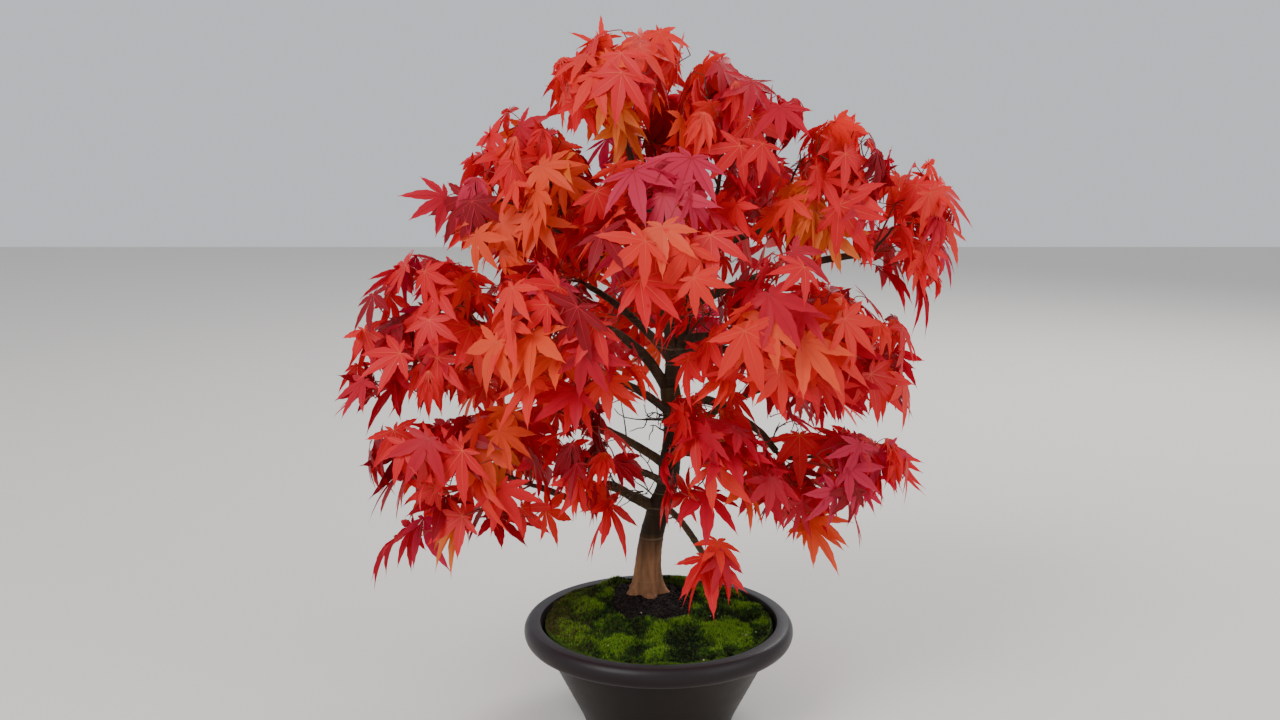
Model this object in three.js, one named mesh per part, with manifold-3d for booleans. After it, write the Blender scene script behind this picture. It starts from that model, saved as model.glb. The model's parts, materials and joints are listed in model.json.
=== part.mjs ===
// A potted Japanese maple bonsai in autumn leaf: a round plastic bonsai pot filled with soil,
// a cushion of moss, a trunk that forks, tapering boughs, and masses of palmate leaves.
// Millimetres, +Z up. The origin is the centre of the pot's flat underside, and the photograph
// is taken along +Y. Every limb and every mass of leaves is grown from the sizes below by one rule.
import * as THREE from "three";
import { mergeVertices } from "three/addons/utils/BufferGeometryUtils.js";
import Module from "manifold-3d";

const wasm = await Module();
wasm.setup();

// Pot: a rolled lip on a straight cone, standing on a flat disc and four feet.
const POT = {
  lipRadius: 120,
  lipTop: 90,
  lipHeight: 18,
  lipRound: 7,
  lipUnder: 5,
  lipArc: [-1.1, 1.35],
  rimEase: 2,
  openingRadius: 105,
  neckRadius: 103,
  baseRadius: 67.5,
  footRise: 4,
  footEase: 1.2,
  wall: 3.5,
  floor: 14,
  discRadius: 57,
  segments: 32,
};
const FOOT_ARCHES = [
  { bearing: -90, halfWidth: 54, height: 10 },
  { bearing: 90, halfWidth: 54, height: 10 },
  { bearing: 0, halfWidth: 13, height: 7 },
  { bearing: 180, halfWidth: 13, height: 7 },
];

// The soil is mounded round the trunk's foot, and the moss lies on it from a bare patch outwards.
const MOUND = { top: 98, rim: 84, padRadius: 25, rays: 28, steps: 3 };
const MOSS = { thickness: 5, edgeShare: 0.45, bumps: 1.6, bareReach: 0.16, bareFront: 0.2,
  edge: 0.985 };
const SEAT_GAP = 0.3;
const WALL_GAP = 0.6;
const FAR = 1e3;

// Trunk: centre line from the soil to the fork, and its radius by height above the soil.
const TRUNK = {
  line: [
    [-10, 46, 98.3],
    [-9, 46, 128],
    [-5.5, 45, 154],
    [1.5, 42, 179],
    [8, 40, 200],
    [11.5, 36, 230],
    [13, 32, 258],
    [10.5, 28, 296],
  ],
  footRadius: 12.6,
  forkRadius: 8,
  taper: 1.5,
  flare: 5.5,
  flareHeight: 10,
  rootRidges: 5,
  ridgeTurn: 0.6,
  ridgeDepth: 0.22,
  sides: 12,
  stations: 15,
  crowding: 1.3,
};

// Masses of leaves: the outline of each by its centre, its reach along X, Y and Z, and its leaves.
// Edge leaves are the crown's outermost ones, by the middle of each.
const MASSES = [
  { name: "foliage_apex", centre: [-34, 10, 548], reach: [70, 62, 62], leaves: 15,
    edge: [[-52, 6, 598], [-8, 14, 584], [-74, 2, 566]] },
  { name: "foliage_top_right", centre: [58, -5, 512], reach: [82, 62, 68], leaves: 17,
    edge: [[26, 4, 566], [66, 0, 562], [98, 0, 536]] },
  { name: "foliage_top_back", centre: [0, 95, 482], reach: [76, 62, 62], leaves: 11, edge: [] },
  { name: "foliage_upper_left", centre: [-112, 0, 460], reach: [98, 66, 68], leaves: 21,
    edge: [[-186, 12, 428], [-96, -4, 512], [-200, 4, 404]] },
  { name: "foliage_upper_right", centre: [136, 0, 458], reach: [80, 64, 64], leaves: 15,
    edge: [[154, 0, 492]] },
  { name: "foliage_right_arm", centre: [206, 12, 424], reach: [56, 54, 64], leaves: 10,
    edge: [[222, 10, 452], [214, 8, 404]] },
  { name: "foliage_centre_front", centre: [0, -95, 425], reach: [78, 62, 76], leaves: 14,
    edge: [[20, -128, 384]] },
  { name: "foliage_left_mid", centre: [-182, -10, 340], reach: [98, 68, 70], leaves: 19,
    edge: [[-240, 0, 326], [-224, -12, 362]] },
  { name: "foliage_left_front", centre: [-78, -105, 346], reach: [72, 60, 70], leaves: 13,
    edge: [] },
  { name: "foliage_right_front", centre: [88, -95, 356], reach: [74, 62, 74], leaves: 14,
    edge: [] },
  { name: "foliage_right_mid", centre: [156, 5, 326], reach: [70, 68, 86], leaves: 15,
    edge: [[190, 5, 278]] },
  { name: "foliage_left_low", centre: [-160, -30, 230], reach: [100, 70, 76], leaves: 21,
    edge: [[-216, -40, 182], [-222, -30, 232], [-76, -34, 232]] },
  { name: "foliage_right_low", centre: [146, -10, 226], reach: [68, 66, 72], leaves: 15,
    edge: [[130, -20, 184], [184, -10, 250]] },
  { name: "foliage_right_inner", centre: [52, -68, 252], reach: [52, 54, 70], leaves: 9,
    edge: [[38, -68, 226]] },
  { name: "foliage_left_inner", centre: [-48, -56, 250], reach: [46, 52, 66], leaves: 8,
    edge: [[-44, -56, 208]] },
  { name: "foliage_low_sprig", centre: [46, -54, 156], reach: [28, 30, 36], leaves: 2,
    edge: [[40, -58, 166]] },
  { name: "foliage_back_mid", centre: [10, 145, 335], reach: [84, 62, 70], leaves: 12, edge: [] },
  { name: "foliage_back_upper_left", centre: [-98, 115, 402], reach: [78, 64, 66], leaves: 12,
    edge: [] },
  { name: "foliage_back_upper_right", centre: [98, 115, 436], reach: [76, 62, 60], leaves: 10,
    edge: [] },
  { name: "foliage_back_left_low", centre: [-128, 105, 275], reach: [76, 64, 68], leaves: 12,
    edge: [] },
  { name: "foliage_back_right_low", centre: [136, 105, 300], reach: [76, 64, 72], leaves: 12,
    edge: [] },
];

// Boughs: each leaves its parent at a fraction of the parent's length and ends in its mass.
// Via points shape a limb that bends; the others bow upwards by their lift at mid-length.
const BOUGHS = [
  { name: "leader", parent: "trunk", at: 1, mass: "foliage_apex", radius: 6.4,
    via: [[11, 26, 330], [5, 23, 375], [-3, 20, 420], [-14, 17, 460]] },
  { name: "right_stem", parent: "leader", at: 0.02, mass: "foliage_top_right", radius: 5,
    via: [[22, 25, 345], [29, 22, 385], [38, 14, 430]] },
  { name: "bough_left_low", parent: "trunk", at: 0.42, mass: "foliage_left_low", radius: 5.4,
    via: [[-22, 36, 191], [-48, 24, 206], [-72, 10, 197]] },
  { name: "bough_right_low", parent: "trunk", at: 0.93, mass: "foliage_right_low", radius: 4.6,
    via: [[45, 20, 284], [85, 6, 262]] },
  { name: "bough_left_mid", parent: "trunk", at: 0.97, mass: "foliage_left_mid", radius: 5,
    via: [[-18, 20, 330], [-60, 8, 352]] },
  { name: "bough_right_mid", parent: "right_stem", at: 0.12, mass: "foliage_right_mid", radius: 4.6,
    lift: 14 },
  { name: "bough_upper_left", parent: "leader", at: 0.34, mass: "foliage_upper_left", radius: 4.4,
    lift: 14 },
  { name: "bough_upper_right", parent: "right_stem", at: 0.62, mass: "foliage_upper_right",
    radius: 4, lift: 10 },
  { name: "bough_right_arm", parent: "right_stem", at: 0.4, mass: "foliage_right_arm", radius: 4.2,
    lift: 14 },
  { name: "bough_top_back", parent: "leader", at: 0.7, mass: "foliage_top_back", radius: 3.6,
    lift: 8 },
  { name: "bough_centre_front", parent: "leader", at: 0.33, mass: "foliage_centre_front",
    radius: 4, lift: 12 },
  { name: "bough_left_front", parent: "trunk", at: 0.9, mass: "foliage_left_front", radius: 4,
    lift: 12 },
  { name: "bough_right_front", parent: "right_stem", at: 0.2, mass: "foliage_right_front",
    radius: 4, lift: 10 },
  { name: "bough_right_inner", parent: "trunk", at: 0.72, mass: "foliage_right_inner",
    radius: 3.2, lift: 6 },
  { name: "bough_left_inner", parent: "trunk", at: 0.58, mass: "foliage_left_inner",
    radius: 3.2, lift: 6 },
  { name: "bough_low_sprig", parent: "trunk", at: 0.46, mass: "foliage_low_sprig",
    radius: 2.6, lift: 10 },
  { name: "bough_back_mid", parent: "trunk", at: 0.86, mass: "foliage_back_mid", radius: 4.2,
    lift: 10 },
  { name: "bough_back_upper_left", parent: "leader", at: 0.15, mass: "foliage_back_upper_left",
    radius: 4.2, lift: 12 },
  { name: "bough_back_upper_right", parent: "leader", at: 0.5, mass: "foliage_back_upper_right",
    radius: 4, lift: 10 },
  { name: "bough_back_left_low", parent: "trunk", at: 0.66, mass: "foliage_back_left_low",
    radius: 4.2, lift: 10 },
  { name: "bough_back_right_low", parent: "trunk", at: 0.79, mass: "foliage_back_right_low",
    radius: 4.2, lift: 8 },
];
const BOUGH = { tipRadius: 2.8, taper: 0.8, sides: 5, station: 32, entry: 0.7, entryRoom: 7,
  back: 0.95 };

// Twigs: three-sided, thinning towards the tips as the leaves that they carry get fewer.
const TWIG = { radius: 1.1, growth: 0.34, stem: 8, detour: 0.2, turn: 1.6, sampling: 6,
  joint: 2.2, crossing: 30, leafGap: 3,
  simplify: [0.2, 0.15, 0.1, 0.08, 0.05], weld: 1e4 };

// Leaf: five pointed lobes round the end of its stalk, as rim points of bearing and length.
// The stalk goes back from there, less steeply than the blade droops, and is sunk into the twig.
const LEAF = { length: 56, thickness: 2.2, curl: 0.2, stalk: 0.38, stalkRise: 0.25, root: 5,
  tries: 30, apart: 6, plenty: 12, shrink: 0.35 };
const LEAF_RIM = [
  [-150, 0.1],
  [-97, 0.66],
  [-66, 0.36],
  [-44, 0.92],
  [-20, 0.42],
  [0, 1],
  [20, 0.42],
  [44, 0.92],
  [66, 0.36],
  [97, 0.66],
  [150, 0.1],
];
const LOBE = { shortest: 0.5, halfWidth: 6.5, marks: [0.25, 0.5, 0.75, 1] };
// A leaf heads away from its mass's middle and from the crown's, more loosely in its later
// tries, and droops.
const HEADING = { fromMass: 1.2, fromCrown: 0.45, spread: 1.9, droop: 0.35, droopSpread: 0.85,
  roll: 2.2, loosen: 1.6 };

// Room that growth keeps: inside its own space, above the moss, and clear of every limb.
const SPACE = { margin: 0.25, beyond: 14, edgeBeyond: 40, floor: 112, limbGap: 0.6,
  nodeRoom: 3.6 };
const ANCHORS = { candidates: 14, rounds: 6, core: 0.3, shrink: 0.5, raise: 0.14, room: 8 };

const COLOURS = {
  pot: { color: 0x2f2624, roughness: 0.45, metalness: 0 },
  soil: { color: 0x1f1712, roughness: 0.95, metalness: 0 },
  moss: { color: 0x4d7a1c, roughness: 0.95, metalness: 0 },
  trunk: { color: 0x6e5a44, roughness: 0.85, metalness: 0 },
  bough: { color: 0x4c4030, roughness: 0.85, metalness: 0 },
  foliage: { color: 0xc8232b, roughness: 0.6, metalness: 0 },
};

const SEED = { step: 104729, first: 3 };
const UP = new THREE.Vector3(0, 0, 1);
const vector = (values) => new THREE.Vector3(...values);
const radians = THREE.MathUtils.degToRad;

// Solids: a closed geometry becomes a solid for joining and cutting, and turns back at the end.
function solidOf(geometry) {
  const bare = geometry.index ? geometry.toNonIndexed() : geometry.clone();
  bare.deleteAttribute("normal");
  bare.deleteAttribute("uv");
  const merged = mergeVertices(bare, 1e-4);
  const mesh = new wasm.Mesh({
    numProp: 3,
    vertProperties: merged.attributes.position.array,
    triVerts: new Uint32Array(merged.index.array),
  });
  return new wasm.Manifold(mesh);
}

function geometryOf(solid) {
  const mesh = solid.getMesh();
  const geometry = new THREE.BufferGeometry();
  geometry.setAttribute("position", new THREE.BufferAttribute(mesh.vertProperties.slice(), 3));
  geometry.setIndex(new THREE.BufferAttribute(mesh.triVerts.slice(), 1));
  geometry.computeVertexNormals();
  return geometry;
}

// A cut or a join may leave scraps and sealed hollows: only the outer skin of the largest stays.
function wholeOf(solid) {
  return solid.decompose().reduce((best, body) => (body.volume() > best.volume() ? body : best));
}

function closedGeometry(points, triangles) {
  const geometry = new THREE.BufferGeometry();
  const positions = new Float32Array(points.flatMap((point) => [point.x, point.y, point.z]));
  geometry.setAttribute("position", new THREE.BufferAttribute(positions, 3));
  geometry.setIndex(triangles.flat());
  return geometry;
}

function meshOf(name, geometry, look) {
  const mesh = new THREE.Mesh(geometry, new THREE.MeshStandardMaterial(COLOURS[look]));
  mesh.name = name;
  return mesh;
}

// Limbs: rings of points carried along a centre line without twisting, closed by flat ends.
function tubeGeometry(line, radii, sides, ridge = () => 1, firstAxis = null) {
  const last = line.length - 1;
  const axes = line.map((point, i) => {
    const before = line[Math.max(i - 1, 0)];
    const after = line[Math.min(i + 1, last)];
    return after.clone().sub(before).normalize();
  });
  if (firstAxis) axes[0] = firstAxis.clone();
  const points = [];
  let side = new THREE.Vector3(1, 0, 0);
  if (Math.abs(axes[0].x) > 0.8) side = new THREE.Vector3(0, 1, 0);
  line.forEach((centre, i) => {
    side = side.clone().addScaledVector(axes[i], -side.dot(axes[i])).normalize();
    const across = axes[i].clone().cross(side);
    for (let k = 0; k < sides; k += 1) {
      const angle = (2 * Math.PI * k) / sides;
      const radius = radii[i] * ridge(i, angle);
      const point = centre.clone().addScaledVector(side, radius * Math.cos(angle));
      points.push(point.addScaledVector(across, radius * Math.sin(angle)));
    }
  });
  const triangles = [];
  for (let i = 0; i < last; i += 1) {
    for (let k = 0; k < sides; k += 1) {
      const next = (k + 1) % sides;
      const [a, b] = [i * sides + k, i * sides + next];
      const [c, d] = [a + sides, b + sides];
      triangles.push([a, b, d], [a, d, c]);
    }
  }
  for (let k = 1; k < sides - 1; k += 1) {
    triangles.push([0, k + 1, k], [last * sides, last * sides + k, last * sides + k + 1]);
  }
  return closedGeometry(points, triangles);
}

// Pot: its outline turned about the axis, with arches cut through the outer ring of the foot.
function potSolid() {
  const { lipRadius, lipTop, lipHeight, lipRound, openingRadius, baseRadius } = POT;
  const outside = new THREE.Path();
  const lipMiddle = [lipRadius - lipRound, lipTop - lipHeight / 2];
  outside.moveTo(0, 0);
  outside.lineTo(baseRadius, 0);
  outside.lineTo(baseRadius + POT.footEase, POT.footRise);
  outside.lineTo(POT.neckRadius, lipTop - lipHeight);
  outside.lineTo(lipRadius - POT.lipUnder, lipTop - lipHeight);
  outside.absellipse(...lipMiddle, lipRound, lipHeight / 2, ...POT.lipArc, false);
  outside.lineTo(openingRadius + POT.rimEase, lipTop);
  outside.lineTo(openingRadius, lipTop - POT.rimEase);
  outside.lineTo(baseRadius - POT.wall, POT.floor);
  outside.lineTo(0, POT.floor);
  const profile = outside.getPoints(3);
  const outer = solidOf(new THREE.LatheGeometry(profile, POT.segments).rotateX(Math.PI / 2));
  return FOOT_ARCHES.reduce((pot, arch) => pot.subtract(archSolid(arch)), outer);
}

function archSolid({ bearing, halfWidth, height }) {
  const arch = new THREE.Shape();
  arch.moveTo(-halfWidth, -1);
  arch.lineTo(halfWidth, -1);
  arch.bezierCurveTo(halfWidth - 4, height, halfWidth / 2, height, 0, height);
  arch.bezierCurveTo(-halfWidth / 2, height, -halfWidth + 4, height, -halfWidth, -1);
  const depth = POT.baseRadius;
  const block = new THREE.ExtrudeGeometry(arch, { depth, bevelEnabled: false, curveSegments: 5 });
  block.rotateX(Math.PI / 2).rotateZ(radians(bearing + 90));
  const reach = POT.discRadius;
  const disc = new THREE.CylinderGeometry(reach, reach, 4 * height, POT.segments);
  return solidOf(block).subtract(solidOf(disc.rotateX(Math.PI / 2)));
}

// Mound: points on rays from the trunk's foot, at a fraction of the way to the pot's wall.
const FOOT = new THREE.Vector3(TRUNK.line[0][0], TRUNK.line[0][1], MOUND.top);

function wallRadius(z) {
  const low = POT.baseRadius - POT.wall;
  const share = (z - POT.floor) / (POT.lipTop - POT.rimEase - POT.floor);
  return low + share * (POT.openingRadius - low) - WALL_GAP;
}

function moundPoint(angle, share, lift = 0) {
  const out = new THREE.Vector3(Math.cos(angle), Math.sin(angle), 0);
  const rim = wallRadius(MOUND.rim);
  const along = FOOT.x * out.x + FOOT.y * out.y;
  const offSquared = FOOT.x ** 2 + FOOT.y ** 2 - rim ** 2;
  const toWall = Math.sqrt(along ** 2 - offSquared) - along;
  const distance = MOUND.padRadius + share * (toWall - MOUND.padRadius);
  const fall = share * share * (3 - 2 * share);
  const height = MOUND.top + fall * (MOUND.rim - MOUND.top) + lift;
  return new THREE.Vector3(FOOT.x + out.x * distance, FOOT.y + out.y * distance, height);
}

function soilSolid() {
  const { rays, steps } = MOUND;
  const points = [FOOT.clone(), new THREE.Vector3(0, 0, POT.floor + SEAT_GAP)];
  const floorRadius = wallRadius(POT.floor + SEAT_GAP);
  for (let k = 0; k < rays; k += 1) {
    const angle = (2 * Math.PI * k) / rays;
    for (let i = 0; i <= steps; i += 1) points.push(moundPoint(angle, i / steps));
    const edge = points[points.length - 1].clone().setZ(0).setLength(floorRadius);
    points.push(edge.setZ(POT.floor + SEAT_GAP));
  }
  const triangles = [];
  for (let k = 0; k < rays; k += 1) {
    const here = 2 + k * (steps + 2);
    const next = 2 + ((k + 1) % rays) * (steps + 2);
    triangles.push([0, here, next], [1, next + steps + 1, here + steps + 1]);
    for (let i = 0; i <= steps; i += 1) {
      triangles.push([here + i, here + i + 1, next + i + 1], [here + i, next + i + 1, next + i]);
    }
  }
  return solidOf(closedGeometry(points, triangles));
}

// Moss: a cushion of even thickness cut to the mound, wider open in front of the trunk.
function mossSolid(soil) {
  const { rays, steps } = MOUND;
  const points = [];
  for (let k = 0; k < rays; k += 1) {
    const angle = (2 * Math.PI * k) / rays;
    const front = Math.max(0, -Math.sin(angle));
    const inner = MOSS.bareReach + MOSS.bareFront * front ** 3;
    for (let i = 0; i <= steps; i += 1) {
      const share = inner + (MOSS.edge - inner) * (i / steps);
      const bump = MOSS.bumps * Math.sin(3.1 * k + 2.3 * i) * Math.cos(1.7 * k - 1.1 * i);
      const edge = i === 0 || i === steps ? MOSS.edgeShare : 1;
      points.push(moundPoint(angle, share, -MOSS.thickness / 2));
      points.push(moundPoint(angle, share, SEAT_GAP + (MOSS.thickness + bump) * edge));
    }
  }
  const row = 2 * (steps + 1);
  const triangles = [];
  for (let k = 0; k < rays; k += 1) {
    const here = k * row;
    const next = ((k + 1) % rays) * row;
    for (let i = 0; i < steps; i += 1) {
      const [a, b] = [here + 2 * i, next + 2 * i];
      triangles.push([a, b, b + 2], [a, b + 2, a + 2]);
      triangles.push([a + 1, b + 3, b + 1], [a + 1, a + 3, b + 3]);
    }
    const [a, b] = [here + 2 * steps, next + 2 * steps];
    triangles.push([here, here + 1, next + 1], [here, next + 1, next]);
    triangles.push([a, b + 1, a + 1], [a, b, b + 1]);
  }
  const cushion = solidOf(closedGeometry(points, triangles));
  return wholeOf(cushion.subtract(soil.translate([0, 0, SEAT_GAP])));
}

// Spaces: each mass keeps to its side of a plane between it and every other mass.
function spaceOf(mass) {
  const centre = vector(mass.centre);
  const size = (mass.reach[0] + mass.reach[1] + mass.reach[2]) / 3;
  const planes = MASSES.filter((other) => other !== mass).map((other) => {
    const towards = vector(other.centre).sub(centre);
    const apart = towards.length();
    const otherSize = (other.reach[0] + other.reach[1] + other.reach[2]) / 3;
    const distance = (apart ** 2 + size ** 2 - otherSize ** 2) / (2 * apart);
    return { normal: towards.normalize(), distance };
  });
  const room = (point) => {
    const offset = point.clone().sub(centre);
    const toPlanes = planes.map(({ normal, distance }) => distance - offset.dot(normal));
    return Math.min(...toPlanes, point.z - SPACE.floor);
  };
  const outline = (point, beyond = 0) => {
    const [rx, ry, rz] = mass.reach.map((reach) => reach + beyond);
    const offset = point.clone().sub(centre);
    return Math.hypot(offset.x / rx, offset.y / ry, offset.z / rz);
  };
  return { centre, room, outline };
}

// Limb lines: a bough starts on its parent's centre line and ends where it enters its mass.
function boughTip(base, space) {
  const towards = base.clone().sub(space.centre);
  const probe = space.centre.clone().add(towards);
  let share = BOUGH.entry / space.outline(probe);
  while (space.room(space.centre.clone().addScaledVector(towards, share)) < BOUGH.entryRoom) {
    share *= BOUGH.back;
  }
  return space.centre.clone().addScaledVector(towards, share);
}

function boughLine(bough, base, tip) {
  if (bough.via) {
    const stops = [base, ...bough.via.map(vector), tip];
    return new THREE.CatmullRomCurve3(stops, false, "catmullrom", 0.5);
  }
  const middle = base.clone().add(tip).multiplyScalar(0.5).addScaledVector(UP, bough.lift);
  return new THREE.QuadraticBezierCurve3(base, middle, tip);
}

function stationsOf(curve, count) {
  return Array.from({ length: count + 1 }, (unused, i) => curve.getPoint(i / count));
}

function trunkRadius(height) {
  const share = Math.min(Math.max(height / (TRUNK.line.at(-1)[2] - MOUND.top), 0), 1);
  const taper = (TRUNK.footRadius - TRUNK.forkRadius) * (1 - share) ** TRUNK.taper;
  return TRUNK.forkRadius + taper + TRUNK.flare * Math.exp(-height / TRUNK.flareHeight);
}

function trunkLimb() {
  const curve = new THREE.CatmullRomCurve3(TRUNK.line.map(vector), false, "catmullrom", 0.5);
  const steps = TRUNK.stations;
  const line = Array.from({ length: steps + 1 }, (unused, i) => {
    return curve.getPoint((i / steps) ** TRUNK.crowding);
  });
  const radii = line.map((point) => trunkRadius(point.z - MOUND.top));
  const ridge = (i, angle) => {
    const fade = Math.exp(-(line[i].z - MOUND.top) / TRUNK.flareHeight);
    return 1 + TRUNK.ridgeDepth * fade * Math.cos(TRUNK.rootRidges * angle + TRUNK.ridgeTurn);
  };
  return { name: "trunk", curve, line, radii, sides: TRUNK.sides, ridge, firstAxis: UP };
}

function boughLimb(bough, parent) {
  const space = spaceOf(MASSES.find((mass) => mass.name === bough.mass));
  const base = parent.curve.getPoint(bough.at);
  if (bough.at === 1) base.addScaledVector(parent.curve.getTangent(1), SEAT_GAP);
  const tip = boughTip(base, space);
  const curve = boughLine(bough, base, tip);
  const count = Math.max(3, Math.round(base.distanceTo(tip) / BOUGH.station));
  const line = stationsOf(curve, count);
  const radii = line.map((point, i) => {
    const share = (i / count) ** BOUGH.taper;
    return bough.radius + (BOUGH.tipRadius - bough.radius) * share;
  });
  return { name: bough.name, mass: bough.mass, curve, line, radii, sides: BOUGH.sides };
}

const LIMBS = [trunkLimb()];
BOUGHS.forEach((bough) => {
  const parent = LIMBS.find((limb) => limb.name === bough.parent);
  LIMBS.push(boughLimb(bough, parent));
});

function limbSolid(limb, grown) {
  const share = grown / Math.cos(Math.PI / limb.sides);
  const radii = limb.radii.map((radius) => radius + share);
  const ridge = limb.ridge ?? (() => 1);
  return solidOf(tubeGeometry(limb.line, radii, limb.sides, ridge, limb.firstAxis));
}

function limbMeshes() {
  return LIMBS.map((limb, i) => {
    const earlier = LIMBS.slice(0, i).map((other) => limbSolid(other, SEAT_GAP));
    const solid = earlier.reduce((cut, other) => cut.subtract(other), limbSolid(limb, 0));
    return meshOf(limb.name, geometryOf(wholeOf(solid)), i === 0 ? "trunk" : "bough");
  });
}

// Limb clearance: every limb as a chain of capsules.
const CAPSULES = LIMBS.flatMap((limb) => {
  const ridge = limb.ridge ? 1 + TRUNK.ridgeDepth : 1;
  return limb.line.slice(1).map((end, i) => {
    const start = limb.line[i];
    const along = end.clone().sub(start);
    const radius = Math.max(limb.radii[i], limb.radii[i + 1]) * ridge;
    return { start, along, squared: along.lengthSq(), radius };
  });
});

function clearOfLimbs(points, reach) {
  return points.every((point) => {
    return CAPSULES.every(({ start, along, squared, radius }) => {
      const offset = point.clone().sub(start);
      const share = Math.min(Math.max(offset.dot(along) / squared, 0), 1);
      return offset.addScaledVector(along, -share).length() > radius + reach + SPACE.limbGap;
    });
  });
}

function samplesBetween(start, end) {
  const count = Math.ceil(start.distanceTo(end) / TWIG.sampling);
  return Array.from({ length: count + 1 }, (unused, i) => start.clone().lerp(end, i / count));
}

// Seeded draws between 0 and 1, by the same sum in every language.
function seededDraws(seed) {
  let state = seed;
  const draw = () => {
    state = (state * 16807) % 2147483647;
    return state / 2147483647;
  };
  draw();
  draw();
  return draw;
}

// Leaf: lies across its normal, with the middle lobe along its heading and the tips curled under.
function leafHeading(point, space, looseness, draw) {
  const own = point.clone().sub(space.centre);
  const crown = new THREE.Vector3(point.x, point.y - FOOT.y / 2, 0);
  const flat = new THREE.Vector3(own.x, own.y, 0).multiplyScalar(HEADING.fromMass);
  flat.addScaledVector(crown, HEADING.fromCrown);
  const bearing = Math.atan2(flat.y, flat.x) + (draw() - 0.5) * HEADING.spread * looseness;
  const droop = HEADING.droop + HEADING.droopSpread * draw();
  const roll = (draw() - 0.5) * HEADING.roll;
  return { bearing, droop, roll };
}

function leafFrame({ bearing, droop, roll }, size) {
  const level = new THREE.Vector3(Math.cos(bearing), Math.sin(bearing), 0);
  const along = level.clone().multiplyScalar(Math.cos(droop)).addScaledVector(UP, -Math.sin(droop));
  const face = level.multiplyScalar(Math.sin(droop)).addScaledVector(UP, Math.cos(droop));
  const across = face.clone().cross(along);
  const normal = face.multiplyScalar(Math.cos(roll)).addScaledVector(across, Math.sin(roll));
  return { along, normal, across: normal.clone().cross(along), size };
}

function leafPoint(centre, frame, bearing, reach) {
  const angle = radians(bearing);
  const length = reach * LEAF.length * frame.size;
  const point = centre.clone().addScaledVector(frame.along, length * Math.cos(angle));
  point.addScaledVector(frame.across, length * Math.sin(angle));
  return point.addScaledVector(frame.normal, -LEAF.curl * reach * length);
}

function stalkRoot(centre, frame) {
  const back = frame.along.clone().negate();
  back.z *= LEAF.stalkRise;
  return centre.clone().addScaledVector(back.normalize(), LEAF.stalk * LEAF.length * frame.size);
}

function rimPoints(centre, frame) {
  const blade = LEAF_RIM.map(([bearing, reach]) => leafPoint(centre, frame, bearing, reach));
  return [...blade, stalkRoot(centre, frame)];
}

function lobePoints(centre, frame) {
  const lobes = LEAF_RIM.filter(([, reach]) => reach > LOBE.shortest);
  const points = lobes.flatMap(([bearing, reach]) => {
    return LOBE.marks.map((share) => leafPoint(centre, frame, bearing, reach * share));
  });
  return [centre, ...points, stalkRoot(centre, frame)];
}

function leafFits(centre, frame, space, beyond) {
  const rim = rimPoints(centre, frame);
  if (space.room(rim.at(-1)) < SPACE.nodeRoom) return false;
  if (rim.some((point) => space.room(point) < SPACE.margin)) return false;
  if (rim.some((point) => space.outline(point, beyond) > 1)) return false;
  return clearOfLimbs(lobePoints(centre, frame), LOBE.halfWidth);
}

function nearestGap(points, others) {
  const gaps = points.map((point) => Math.min(...others.map((other) => point.distanceTo(other))));
  return Math.min(...gaps, FAR);
}

// The rim, with the stalk's root moved to its place in the twig, is joined to a point above
// the middle of the leaf and to one below.
function leafSolid(centre, frame, root) {
  const rim = [...rimPoints(centre, frame).slice(0, -1), root];
  const above = centre.clone().addScaledVector(frame.normal, LEAF.thickness / 2);
  const below = centre.clone().addScaledVector(frame.normal, -LEAF.thickness / 2);
  const top = rim.length;
  const triangles = rim.flatMap((unused, i) => {
    const next = (i + 1) % rim.length;
    return [[i, next, top], [next, i, top + 1]];
  });
  return solidOf(closedGeometry([...rim, above, below], triangles));
}

// Places for leaves: spread evenly through the space, and closest near its outline.
function freePlace(mass, space, tried, draw) {
  const shrink = ANCHORS.shrink * LEAF.length;
  const reach = mass.reach.map((size) => Math.max(size - shrink, ANCHORS.core * size));
  const middle = space.centre.clone().addScaledVector(UP, ANCHORS.raise * LEAF.length);
  let best = null;
  let bestGap = -1;
  for (let k = 0; k < ANCHORS.candidates; k += 1) {
    const height = 2 * draw() - 1;
    const around = 2 * Math.PI * draw();
    const share = ANCHORS.core + (1 - ANCHORS.core) * Math.cbrt(draw());
    const ring = Math.sqrt(1 - height * height);
    const offset = [ring * Math.cos(around), ring * Math.sin(around), height];
    const point = vector(offset.map((value, axis) => value * reach[axis] * share)).add(middle);
    if (space.room(point) < ANCHORS.room) continue;
    const gap = Math.min(...tried.map((other) => other.distanceTo(point)), FAR);
    if (gap > bestGap) {
      best = point;
      bestGap = gap;
    }
  }
  return best;
}

// Of several headings a leaf takes the one farthest from the leaves before it, or is skipped.
function chooseLeaf(centre, isEdge, space, placed, draw) {
  const beyond = isEdge ? SPACE.edgeBeyond : SPACE.beyond;
  let chosen = null;
  let widest = LEAF.apart;
  for (let k = 0; k < LEAF.tries; k += 1) {
    const plain = isEdge && k === 0;
    const late = k / LEAF.tries;
    const looseness = 1 + HEADING.loosen * late;
    const heading = leafHeading(centre, space, looseness, plain ? () => 0.5 : draw);
    const frame = leafFrame(heading, 1 - LEAF.shrink * late);
    if (!leafFits(centre, frame, space, beyond)) continue;
    const gap = nearestGap(lobePoints(centre, frame), placed);
    if (gap <= widest) continue;
    chosen = frame;
    widest = gap;
    if (plain || gap > LEAF.plenty) break;
  }
  return chosen;
}

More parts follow.
